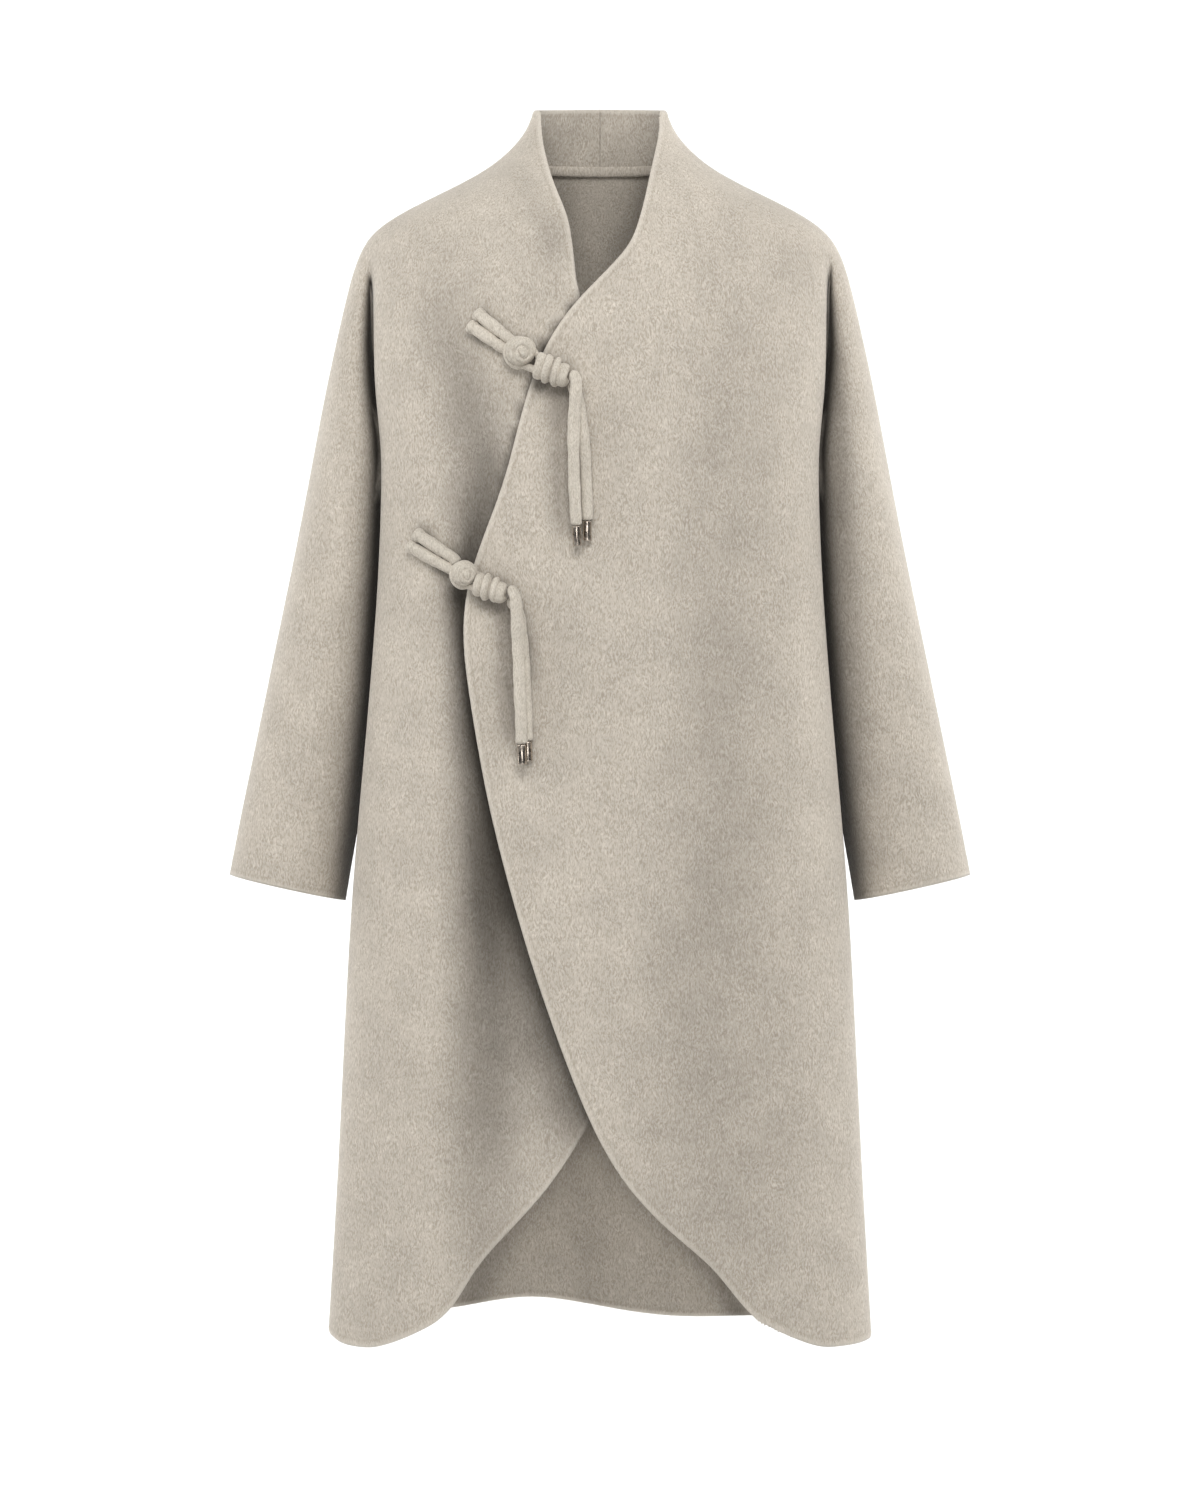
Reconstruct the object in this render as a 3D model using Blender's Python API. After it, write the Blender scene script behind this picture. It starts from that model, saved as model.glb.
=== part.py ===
"""Wrap coat of double-faced wool with two knotted ties, modelled as the cut pieces of a garment.

Frame: metres, +Z up, the front faces -Y, +X is the wearer's left.
Origin: on the centre plane, level with the back neck seam.
The coat keeps its worn, hollow form: every cloth piece is a thin closed wall.
"""

import math

import bmesh
import bpy
import numpy as np
from mathutils import Vector
from mathutils.bvhtree import BVHTree

# ---------------------------------------------------------------- driving sizes (metres)

CLOTH = 0.0025            # wall of the double-faced wool
SEAM_PULL = 0.0002        # how far each sewn edge stands back from its seam's line
NECK_Z = 0.0              # level of the back neck seam
CREASE_Z = -0.087         # level where the crease between front and sleeve starts
ARMPIT_Z = -0.262         # level of the underarm point
RIM_FRONT_Z = 0.0375      # collar rim at the front edges
RIM_BACK_Z = 0.0545       # collar rim at the centre back
HEM_Z = -1.050            # mean level of the hem
HEM_START = -0.930        # rows below this level follow the hem's own line
CORNER_RISE = 0.027       # how far the hem lifts at each rounded front corner
CORNER_RUN = 0.062        # length of that lift along the hem
CORNER_POWER = 1.3        # how quickly the lift fades

# columns of cloth cells, from the front edge or centre back outwards
FRONT_COLS = 13           # front edge to the fold beside the sleeve
SIDE_COLS = 3             # fold to the side seam
SLEEVE_COLS = 8           # underarm seam to the overarm seam
BACK_COLS = 8             # centre back to the back fold

TORSO_POWER = 2.5         # squareness of the body's sections
FOLD_ANGLE = math.radians(71)       # where the body's front and back folds sit on a torso section
YOKE_FOLD = math.radians(61)        # the same folds on a yoke section
YOKE_VALLEY = math.radians(70)      # the crease beside the sleeve on a yoke section
RIM_SHIFT = math.radians(25)        # how far the shoulder column drifts backwards at the rim
EDGE_TURN = math.radians(60)        # where a front's edge meets the collar sections, about
LOOSEN = 1.3              # how quickly the columns even out above the crease
SWELL_POWER = 1.2         # how a fold fades towards its ends

# yoke: horizontal sections from the collar rim to the underarm, sleeves included
YOKE = [
    # z, half_width, front_depth, back_depth
    (0.0450, 0.0595, 0.052, 0.058),
    (0.0280, 0.0655, 0.057, 0.059),
    (0.0130, 0.0770, 0.063, 0.061),
    (0.0000, 0.0905, 0.070, 0.065),
    (-0.0120, 0.1080, 0.078, 0.071),
    (-0.0240, 0.1305, 0.086, 0.078),
    (-0.0360, 0.1560, 0.093, 0.085),
    (-0.0480, 0.1800, 0.099, 0.092),
    (-0.0600, 0.1990, 0.104, 0.098),
    (-0.0720, 0.2105, 0.108, 0.104),
    (-0.0870, 0.2178, 0.113, 0.110),
    (-0.1070, 0.2246, 0.118, 0.116),
    (-0.1300, 0.2302, 0.123, 0.121),
    (-0.1600, 0.2374, 0.128, 0.125),
    (-0.1950, 0.2449, 0.132, 0.128),
    (-0.2300, 0.2523, 0.134, 0.129),
    (-0.2620, 0.2580, 0.135, 0.129),
]

# torso: sections of the body alone
TORSO = [
    # z, fold_half_width, side_half_width, front_depth, back_depth
    (-0.087, 0.2000, 0.1900, 0.115, 0.112),
    (-0.160, 0.1965, 0.1810, 0.128, 0.125),
    (-0.262, 0.1950, 0.1765, 0.135, 0.129),
    (-0.340, 0.1968, 0.1790, 0.134, 0.127),
    (-0.420, 0.2020, 0.1850, 0.132, 0.126),
    (-0.500, 0.2085, 0.1940, 0.131, 0.127),
    (-0.600, 0.2170, 0.2080, 0.133, 0.132),
    (-0.680, 0.2220, 0.2180, 0.135, 0.138),
    (-0.800, 0.2275, 0.2250, 0.138, 0.147),
    (-0.900, 0.2320, 0.2300, 0.140, 0.156),
    (-1.060, 0.2410, 0.2390, 0.142, 0.170),
]
FOLD_REACH = 0.957        # share of the half width that a section reaches at its folds
FOLD_DENT = 0.27          # share of the side dent that is felt at the folds
DENT_SPREAD = 0.052       # half depth of the dent where a sleeve lies

# crease between the body and each sleeve, above the underarm
CREASE = [
    # z, share of the way to the underarm seam
    (-0.087, 0.00),
    (-0.103, 0.22),
    (-0.122, 0.36),
    (-0.147, 0.46),
    (-0.182, 0.58),
    (-0.221, 0.76),
    (-0.262, 1.00),
]

# sleeve: sections below the underarm, each an ellipse across the sleeve
SLEEVE = [
    # z, inner_x, outer_x, half_depth, tilt (rise per width, outwards)
    (-0.262, 0.1765, 0.2580, 0.0660, 0.00),
    (-0.300, 0.1825, 0.2650, 0.0655, 0.03),
    (-0.345, 0.1855, 0.2732, 0.0640, 0.07),
    (-0.400, 0.1895, 0.2842, 0.0615, 0.11),
    (-0.460, 0.1965, 0.2962, 0.0580, 0.15),
    (-0.520, 0.2060, 0.3080, 0.0545, 0.18),
    (-0.580, 0.2165, 0.3202, 0.0510, 0.21),
    (-0.625, 0.2245, 0.3292, 0.0485, 0.22),
    (-0.654, 0.2293, 0.3345, 0.0470, 0.22),
]

# middle line of the sides (shoulder, overarm and side seams)
SEAM_LINE = [
    # z, y
    (0.045, 0.000),
    (-0.050, 0.004),
    (-0.262, 0.012),
    (-0.660, 0.012),
    (-1.060, 0.010),
]

# free edges of the fronts, from the collar rim to the rounded corner
OVERLAP_EDGE = [
    # z, x (wearer's left front, which lies on top)
    (0.0377, 0.0550), (0.0119, 0.0512), (-0.0193, 0.0447), (-0.0497, 0.0383),
    (-0.0750, 0.0312), (-0.0880, 0.0258), (-0.1010, 0.0150), (-0.1178, -0.0013),
    (-0.1365, -0.0197), (-0.1632, -0.0425), (-0.2116, -0.0615), (-0.2598, -0.0745),
    (-0.3166, -0.0893), (-0.3643, -0.1121), (-0.3991, -0.1200), (-0.4340, -0.1217),
    (-0.4864, -0.1138), (-0.5736, -0.0989), (-0.6345, -0.0832), (-0.7127, -0.0613),
    (-0.7821, -0.0369), (-0.8513, -0.0105), (-0.8861, 0.0075), (-0.9208, 0.0308),
    (-0.9556, 0.0700), (-0.9730, 0.0925), (-0.9905, 0.1075), (-1.0080, 0.1210),
    (-1.0240, 0.1380),
]
UNDERLAP_EDGE = [
    # z, x (wearer's right front, which lies beneath)
    (0.0377, -0.0540), (0.0119, -0.0512), (-0.0070, -0.0473), (-0.0262, -0.0421),
    (-0.0452, -0.0348), (-0.0643, -0.0277), (-0.0829, -0.0248), (-0.1011, -0.0223),
    (-0.1365, -0.0180), (-0.1770, 0.0020), (-0.2400, 0.0400), (-0.3000, 0.0740),
    (-0.3643, 0.1040), (-0.4340, 0.1150), (-0.5387, 0.0999), (-0.6432, 0.0780),
    (-0.7388, 0.0474), (-0.8081, 0.0169), (-0.8513, -0.0070), (-0.8861, -0.0265),
    (-0.9208, -0.0510), (-0.9556, -0.0870), (-0.9730, -0.1030), (-0.9905, -0.1150),
    (-1.0080, -0.1255), (-1.0240, -0.1420),
]

# level of the hem around the coat, without the rounded corners
FRONT_HEM = [
    # x, z
    (0.242, -1.0519), (0.228, -1.0538), (0.200, -1.0540), (0.100, -1.0535),
    (-0.100, -1.0545), (-0.200, -1.0547), (-0.228, -1.0538), (-0.242, -1.0474),
]
BACK_HEM = [
    # x, z
    (0.242, -1.0519), (0.180, -1.0570), (0.120, -1.0600), (0.075, -1.0585),
    (0.025, -1.0575), (0.000, -1.0506), (-0.030, -1.0440), (-0.066, -1.0420),
    (-0.130, -1.0505), (-0.180, -1.0520), (-0.242, -1.0474),
]

# how far the wearer's right front falls back beside and beneath the overlapping edge
UNDERLAP_DROP = [
    # z, depth, start_x, end_x (the fall begins at start_x and is complete at end_x)
    (-0.060, 0.0040, -0.025, 0.030),
    (-0.136, 0.0046, -0.080, -0.024),
    (-0.212, 0.0052, -0.118, -0.066),
    (-0.300, 0.0060, -0.136, -0.090),
    (-0.364, 0.0090, -0.146, -0.117),
    (-0.434, 0.0170, -0.148, -0.126),
    (-0.490, 0.0215, -0.142, -0.118),
    (-0.600, 0.0230, -0.137, -0.108),
    (-0.700, 0.0220, -0.135, -0.105),
    (-0.820, 0.0180, -0.134, -0.102),
    (-0.920, 0.0130, -0.134, -0.100),
    (-1.060, 0.0100, -0.134, -0.098),
]
COVER_START = 0.060       # beneath the other front it takes that front's folds, from this far outside
COVER_END = 0.004         # its edge to this far outside it

# soft vertical folds: the bulge is outwards, a hollow is negative
FOLDS = [
    # panel, top_z, bottom_z, top_x, bottom_x, half_width, bulge
    ("left", -0.14, -1.10, 0.048, 0.046, 0.026, 0.0060),
    ("left", -0.05, -1.35, 0.098, 0.112, 0.031, -0.0105),
    ("left", -0.30, -1.20, 0.172, 0.185, 0.026, 0.0040),
    ("right", -0.11, -0.46, -0.138, -0.104, 0.022, -0.0140),
    ("right", -0.05, -0.26, -0.072, -0.092, 0.028, 0.0045),
    ("right", -0.50, -1.25, -0.150, -0.165, 0.030, 0.0060),
    ("back", -0.45, -1.65, -0.072, -0.064, 0.045, 0.0230),
    ("back", -0.45, -1.65, 0.046, 0.050, 0.050, -0.0230),
    ("back", -0.60, -1.65, 0.145, 0.150, 0.032, 0.0120),
    ("back", -0.60, -1.65, -0.150, -0.160, 0.030, -0.0100),
    ("back", -0.05, -0.60, 0.000, 0.000, 0.050, -0.0050),
    ("back", -0.06, -0.55, 0.120, 0.140, 0.034, -0.0070),
    ("back", -0.06, -0.55, -0.118, -0.135, 0.034, -0.0060),
]

# horizontal rows of cloth cells
COLLAR_ROWS = [1.0, 0.66, 0.33, 0.0]          # share of the way from the neck seam to the rim
YOKE_ROWS = [-0.012, -0.024, -0.036, -0.048, -0.060, -0.073, -0.087,
             -0.103, -0.122, -0.147, -0.182, -0.221, ARMPIT_Z]
BODY_ROWS = [-0.300, -0.344, -0.390, -0.436, -0.486, -0.540, -0.595, -0.655, -0.715, -0.770,
             -0.820, -0.865, -0.905, -0.940, -0.970, -0.995, -1.016, -1.034, HEM_Z]
SLEEVE_ROWS = [-0.310, -0.360, -0.410, -0.465, -0.520, -0.575, -0.620, -0.654]

# neck seam strip: a padded strip sewn over the back neck seam, inside
STRIP_HEIGHT = 0.0088
STRIP_DEPTH = 0.0030
STRIP_CLEAR = 0.0003
STRIP_CORNERS = 7

# ties: a doubled cord sewn down as two legs, a ball knot at its end, and on the other front a cord
# loop whose ends are wrapped into a roll and hang down in two tails
CORD_RADIUS = 0.0052
LEG_RADIUS = 0.0050
LEG_TIP_RADIUS = 0.0034   # where a leg runs into the knot
LEG_CAP = 0.0070          # length of the cloth cap round a leg's free end
LEG_CAP_SWELL = 1.06      # how much thicker the cap is than the leg
LEG_TAPER = 0.0120        # length over which a leg thins before the knot
LEG_CLEAR = 0.0009        # air between a leg and the front at the points where it is laid
LOOP_RADIUS = 0.0024
LOOP_BEHIND = 0.0012      # how far the loop's middle lies behind the ball knot's
LOOP_SLANT = 0.0022       # how far its lower strand stands before its upper one
LOOP_ENTRY = 0.0052       # how far below the roll's axis its second end enters
LOOP_TURNS = (60, 90, 120, 150, 180, 210, 240, 275)   # degrees round the ball knot
TOUCH = 0.0003            # air between pieces that lie on each other
LEG_STEP = 0.0036         # distance between the points of a leg, a loop and a tail
LOOP_STEP = 0.0042
TAIL_STEP = 0.0075
WRAP_TURNS = 4
ROLL_END = 0.42           # radius of the roll's flat ends, as a share of its own
WRAP_SWELL = [
    # share of a turn's length, radius as a share of the roll's
    (0.06, 0.80),
    (0.50, 1.00),
    (0.94, 0.80),
]
AGLET_RADIUS = 0.0038
AGLET_LENGTH = 0.0170
AGLET_EDGE = 0.0006       # bevel of its rims
BALL_TURNS = 5            # cord turns across a ball knot
BALL_RIDGE = 0.075        # height of a turn, as a share of the knot's radius

TIES = {
    "tie_1": {
        # legs as (x, z) from the free end to the knot
        "leg_upper": [(-0.1078, -0.1472), (-0.0895, -0.1629), (-0.0781, -0.1725)],
        "leg_lower": [(-0.1135, -0.1577), (-0.0965, -0.1703), (-0.0847, -0.1791)],
        "ball": (-0.0673, -0.1362, -0.1833), "ball_radius": 0.0114,
        "wrap_start": (-0.0552, -0.1414, -0.1950), "wrap_end": (-0.0287, -0.1440, -0.2063),
        "wrap_radius": 0.0116, "loop_angle": 20,
        "tail_front": [(-0.0258, -0.1481, -0.2038), (-0.0242, -0.1490, -0.2042),
                       (-0.0214, -0.1497, -0.2078), (-0.0206, -0.1499, -0.2145),
                       (-0.0213, -0.1496, -0.2240), (-0.0224, -0.1487, -0.2400),
                       (-0.0229, -0.1475, -0.2600), (-0.0228, -0.1466, -0.2800),
                       (-0.0223, -0.1460, -0.3000), (-0.0213, -0.1457, -0.3200),
                       (-0.0205, -0.1455, -0.3356)],
        "tail_back": [(-0.0262, -0.1395, -0.2113), (-0.0232, -0.1388, -0.2150),
                      (-0.0203, -0.1385, -0.2215), (-0.0185, -0.1387, -0.2310),
                      (-0.0160, -0.1393, -0.2450), (-0.0142, -0.1402, -0.2600),
                      (-0.0128, -0.1405, -0.2800), (-0.0119, -0.1405, -0.3000),
                      (-0.0113, -0.1403, -0.3180), (-0.0112, -0.1400, -0.3310)],
    },
    "tie_2": {
        "leg_upper": [(-0.1612, -0.3390), (-0.1472, -0.3487), (-0.1353, -0.3570),
                      (-0.1275, -0.3622)],
        "leg_lower": [(-0.1664, -0.3491), (-0.1515, -0.3592), (-0.1397, -0.3662),
                      (-0.1318, -0.3706)],
        "ball": (-0.1175, -0.1345, -0.3764), "ball_radius": 0.0104,
        "wrap_start": (-0.1079, -0.1336, -0.3843), "wrap_end": (-0.0827, -0.1384, -0.3947),
        "wrap_radius": 0.0104, "loop_angle": 34,
        "tail_front": [(-0.0799, -0.1421, -0.3905), (-0.0768, -0.1434, -0.3914),
                       (-0.0740, -0.1444, -0.3955), (-0.0727, -0.1450, -0.4030),
                       (-0.0721, -0.1454, -0.4150), (-0.0714, -0.1453, -0.4300),
                       (-0.0707, -0.1450, -0.4480), (-0.0700, -0.1447, -0.4680),
                       (-0.0692, -0.1444, -0.4900), (-0.0685, -0.1441, -0.5100),
                       (-0.0680, -0.1440, -0.5252)],
        "tail_back": [(-0.0801, -0.1345, -0.3991), (-0.0762, -0.1343, -0.4020),
                      (-0.0725, -0.1343, -0.4075), (-0.0702, -0.1345, -0.4150),
                      (-0.0684, -0.1347, -0.4280), (-0.0668, -0.1346, -0.4450),
                      (-0.0654, -0.1343, -0.4650), (-0.0644, -0.1341, -0.4880),
                      (-0.0637, -0.1341, -0.5080), (-0.0631, -0.1342, -0.5225)],
    },
}

WOOL = (0.60, 0.56, 0.50, 1.0)
WOOL_CORD = (0.62, 0.58, 0.52, 1.0)
GUNMETAL = (0.12, 0.11, 0.11, 1.0)


# ---------------------------------------------------------------- small maths

def ease(value):
    """Smooth step from 0 to 1."""
    value = min(1.0, max(0.0, value))
    return value * value * (3.0 - 2.0 * value)


def mix(start, end, share):
    """Value that lies the given share of the way from start to end."""
    return start + (end - start) * share


def look_up(rows, z, column=1):
    """Smooth value of a table's column at height z; the first column falls from top to bottom."""
    if z >= rows[0][0]:
        return rows[0][column]
    if z <= rows[-1][0]:
        return rows[-1][column]
    index = next(n for n in range(len(rows) - 1) if rows[n + 1][0] <= z)
    z0, z1 = rows[index][0], rows[index + 1][0]
    v0, v1 = rows[index][column], rows[index + 1][column]
    before = rows[max(0, index - 1)]
    after = rows[min(len(rows) - 1, index + 2)]
    slope0 = (v1 - before[column]) / (z1 - before[0])
    slope1 = (after[column] - v0) / (after[0] - z0)
    span = z1 - z0
    share = (z - z0) / span
    square, cube = share ** 2, share ** 3
    return ((2 * cube - 3 * square + 1) * v0 + (cube - 2 * square + share) * span * slope0
            + (3 * square - 2 * cube) * v1 + (cube - square) * span * slope1)


def section_point(half_width, front, back, middle, power, angle):
    """Point of a squared ellipse: angle 0 is the centre front, a right angle the side, pi the back."""
    across, along = math.sin(angle), math.cos(angle)
    x = math.copysign(abs(across) ** (2.0 / power), across) * half_width
    reach = front + middle if along > 0.0 else back - middle
    y = middle - math.copysign(abs(along) ** (2.0 / power), along) * reach
    return x, y


def section_angle(x, half_width, power):
    """Angle at which a section's front passes x."""
    share = max(-1.0, min(1.0, x / half_width))
    return math.asin(math.copysign(abs(share) ** (power / 2.0), share))


# ---------------------------------------------------------------- the coat's surface

class Coat:
    """Outer surface of the coat as a net of named points, shared by the pieces along their seams."""

    def __init__(self):
        self.rows = [NECK_Z] * len(COLLAR_ROWS) + YOKE_ROWS + BODY_ROWS
        self.neck_row = len(COLLAR_ROWS) - 1
        self.armpit_row = len(COLLAR_ROWS) + len(YOKE_ROWS) - 1
        self.hem_row = len(self.rows) - 1
        self.cuff_row = self.armpit_row + len(SLEEVE_ROWS)
        self.points = {}
        self.normals = {}

    # -- sections

    def edge(self, side, z):
        """Distance of a front's free edge from the centre plane, positive on its own side."""
        return look_up(OVERLAP_EDGE, z) if side > 0 else -look_up(UNDERLAP_EDGE, z)

    def yoke_point(self, z, angle):
        """Point of a yoke section on the +X half."""
        return section_point(look_up(YOKE, z, 1), look_up(YOKE, z, 2), look_up(YOKE, z, 3),
                             look_up(SEAM_LINE, z), 2.0, angle)

    def torso_width(self, z):
        """Half width of the squared ellipse that reaches the folds once its sides are dented."""
        fold, side = look_up(TORSO, z, 1), look_up(TORSO, z, 2)
        return (fold - FOLD_DENT * side) / (FOLD_REACH - FOLD_DENT)

    def torso_point(self, z, angle):
        """Point of a body section on the +X half, its side dented where the sleeve lies."""
        middle = look_up(SEAM_LINE, z)
        width = self.torso_width(z)
        x, y = section_point(width, look_up(TORSO, z, 3), look_up(TORSO, z, 4),
                             middle, TORSO_POWER, angle)
        dent = (width - look_up(TORSO, z, 2)) * math.exp(-((y - middle) / DENT_SPREAD) ** 2)
        return x - math.copysign(dent, x), y

    def sleeve_point(self, z, angle):
        """Point of a sleeve section: angle 0 is the underarm, pi the overarm; front is positive."""
        middle = look_up(SEAM_LINE, z)
        inner = look_up(SLEEVE, z, 1)
        outer = look_up(SLEEVE, z, 2) if z <= ARMPIT_Z else look_up(YOKE, z, 1)
        half = (outer - inner) / 2.0
        depth = look_up(SLEEVE, z, 3)
        x = inner + half * (1.0 - math.cos(angle))
        y = middle - depth * math.sin(angle)
        return x, y, z - look_up(SLEEVE, z, 4) * half * math.cos(angle)

    def split(self, z):
        """How far body and sleeve have parted: 0 at the crease's start, 1 at the underarm."""
        return look_up(CREASE, z)

    # -- columns of the yoke

    def yoke_angle(self, z, start, index, fold, valley, counts):
        """Angle of a yoke column, from start to the shoulder line."""
        end = math.pi / 2.0
        total = sum(counts)
        if index <= counts[0]:
            target = mix(start, fold, index / counts[0])
        elif index <= counts[0] + counts[1]:
            target = mix(fold, valley, (index - counts[0]) / counts[1])
        else:
            target = mix(valley, end, (index - counts[0] - counts[1]) / counts[2])
        loose = ease((z - CREASE_Z) / -CREASE_Z * LOOSEN)
        return mix(target, mix(start, end, index / total), loose)

    # -- named points

    def rim_height(self, share, angle):
        """Height on the collar: share 0 is the neck seam's level, 1 the rim."""
        rim = mix(RIM_FRONT_Z, RIM_BACK_Z, ease(angle / math.pi))
        return mix(NECK_Z, rim, share)

    def collar_point(self, side, row, index, behind):
        """Point of the grown-on collar; behind is true past the shoulder line."""
        share = COLLAR_ROWS[row]
        z = self.rim_height(share, EDGE_TURN)
        start = section_angle(self.edge(side, z), look_up(YOKE, z, 1), 2.0)
        turn = math.pi / 2.0 + RIM_SHIFT * ease(share)
        if behind:
            angle = mix(math.pi, turn, index / self.back_total)
        else:
            angle = mix(start, turn, index / self.front_total)
        z = self.rim_height(share, angle)
        x, y = self.yoke_point(z, angle)
        return x, y, z

    @property
    def front_total(self):
        return FRONT_COLS + SIDE_COLS + SLEEVE_COLS

    @property
    def back_total(self):
        return BACK_COLS + SIDE_COLS + SLEEVE_COLS

    def hem_share(self, z):
        """How far a row follows the hem's line: 0 above the hem, 1 on it."""
        return max(0.0, (HEM_START - z) / (HEM_START - HEM_Z))

    def front_height(self, side, z, x, edge):
        """Height of a front's row: the last rows follow the hem and lift into the rounded corner."""
        lift = CORNER_RISE * max(0.0, 1.0 - (x - edge) / CORNER_RUN) ** CORNER_POWER
        return z + self.hem_share(z) * (look_up(FRONT_HEM, side * x) - HEM_Z + lift)

    def panel_point(self, side, row, index):
        """Point of a front between its free edge and the side seam or the sleeve's crease."""
        z = self.rows[row]
        edge = self.edge(side, z + CORNER_RISE * self.hem_share(z))
        counts = (FRONT_COLS, SIDE_COLS, SLEEVE_COLS)
        split = self.split(z)
        yoke_start = section_angle(edge, look_up(YOKE, z, 1), 2.0)
        torso_start = section_angle(edge, self.torso_width(z), TORSO_POWER)
        if index <= FRONT_COLS:
            torso_angle = mix(torso_start, FOLD_ANGLE, index / FRONT_COLS)
        else:
            torso_angle = mix(FOLD_ANGLE, math.pi / 2.0, (index - FRONT_COLS) / SIDE_COLS)
        x, y = self.torso_point(z, torso_angle)
        if split < 1.0:
            angle = self.yoke_angle(z, yoke_start, index, YOKE_FOLD, YOKE_VALLEY, counts)
            yoke_x, yoke_y = self.yoke_point(z, angle)
            x, y = mix(yoke_x, x, split), mix(yoke_y, y, split)
        return x, y, self.front_height(side, z, x, edge)

    def back_point(self, side, row, index):
        """Point of the back between the centre back and the side seam or the sleeve's crease."""
        z = self.rows[row]
        counts = (BACK_COLS, SIDE_COLS, SLEEVE_COLS)
        split = self.split(z)
        if index <= BACK_COLS:
            torso_angle = mix(math.pi, math.pi - FOLD_ANGLE, index / BACK_COLS)
        else:
            torso_angle = mix(math.pi - FOLD_ANGLE, math.pi / 2.0, (index - BACK_COLS) / SIDE_COLS)
        x, y = self.torso_point(z, torso_angle)
        if split < 1.0:
            angle = math.pi - self.yoke_angle(z, 0.0, index, YOKE_FOLD, YOKE_VALLEY, counts)
            yoke_x, yoke_y = self.yoke_point(z, angle)
            x, y = mix(yoke_x, x, split), mix(yoke_y, y, split)
        return x, y, z + self.hem_share(z) * (look_up(BACK_HEM, side * x) - HEM_Z)

    def arm_point(self, side, row, index, behind):
        """Point of a sleeve between the underarm (index 0) and the overarm or shoulder seam."""
        share = index / SLEEVE_COLS
        turn = -1.0 if behind else 1.0
        if row > self.armpit_row:
            return self.sleeve_point(SLEEVE_ROWS[row - self.armpit_row - 1], turn * share * math.pi)
        z = self.rows[row]
        split = self.split(z)
        x, y, height = self.sleeve_point(z, turn * share * math.pi)
        if split < 1.0:
            if behind:
                counts = (BACK_COLS, SIDE_COLS, SLEEVE_COLS)
                angle = math.pi - self.yoke_angle(z, 0.0, BACK_COLS + SIDE_COLS + index,
                                                  YOKE_FOLD, YOKE_VALLEY, counts)
            else:
                counts = (FRONT_COLS, SIDE_COLS, SLEEVE_COLS)
                start = section_angle(self.edge(side, z), look_up(YOKE, z, 1), 2.0)
                angle = self.yoke_angle(z, start, FRONT_COLS + SIDE_COLS + index,
                                        YOKE_FOLD, YOKE_VALLEY, counts)
            yoke_x, yoke_y = self.yoke_point(z, angle)
            x, y = mix(yoke_x, x, split), mix(yoke_y, y, split)
        return x, y, z

    def fold_push(self, panel, x, z):
        """Outward bulge of the soft folds at a place on a panel."""
        push = 0.0
        for name, top_z, bottom_z, top_x, bottom_x, half_width, bulge in FOLDS:
            if name != panel or not bottom_z < z < top_z:
                continue
            share = (top_z - z) / (top_z - bottom_z)
            swell = math.sin(math.pi * share) ** SWELL_POWER
            centre = mix(top_x, bottom_x, share)
            push += bulge * swell * math.exp(-((x - centre) / half_width) ** 2)
        return push

    def covered(self, x, z):
        """How far the wearer's right front takes the other's folds: 0 beside it, 1 beneath it."""
        edge = look_up(OVERLAP_EDGE, z)
        return ease((x - (edge - COVER_START)) / (COVER_START - COVER_END))

    def fall(self, x, z):
        """How far the wearer's right front has fallen back at a place."""
        start, end = look_up(UNDERLAP_DROP, z, 2), look_up(UNDERLAP_DROP, z, 3)
        return look_up(UNDERLAP_DROP, z) * ease((x - start) / (end - start))

    def name(self, zone, side, row, index):
        """The one name of a net point, whichever piece asks for it."""
        if zone == "front" and row < self.neck_row:
            return (zone, side, row, index)
        if zone == "front" and index > FRONT_COLS + SIDE_COLS:
            return self.name("arm_front", side, row, index - FRONT_COLS - SIDE_COLS)
        if zone == "back" and index > BACK_COLS + SIDE_COLS:
            return self.name("arm_back", side, row, index - BACK_COLS - SIDE_COLS)
        if zone == "collar_back" and row == self.neck_row:
            return self.name("back", side, row, index)
        if zone == "collar_back" and index == self.back_total:
            return ("front", side, row, self.front_total)
        if zone == "collar_back" and index == 0:
            return ("collar_back", 0, row, 0)
        if zone == "back" and index == 0:
            return ("back", 0, row, 0)
        if zone in ("arm_front", "arm_back") and index == SLEEVE_COLS:
            return ("overarm", side, row, 0)
        if row >= self.armpit_row:
            if (zone, index) in (("front", FRONT_COLS + SIDE_COLS), ("back", BACK_COLS + SIDE_COLS)):
                return ("side", side, row, 0)
            if zone in ("arm_front", "arm_back") and index == 0:
                return ("underarm" if row > self.armpit_row else "side", side, row, 0)
        elif zone == "arm_front" and index == 0:
            return ("front", side, row, FRONT_COLS + SIDE_COLS)
        elif zone == "arm_back" and index == 0:
            return ("back", side, row, BACK_COLS + SIDE_COLS)
        return (zone, side, row, index)

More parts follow.
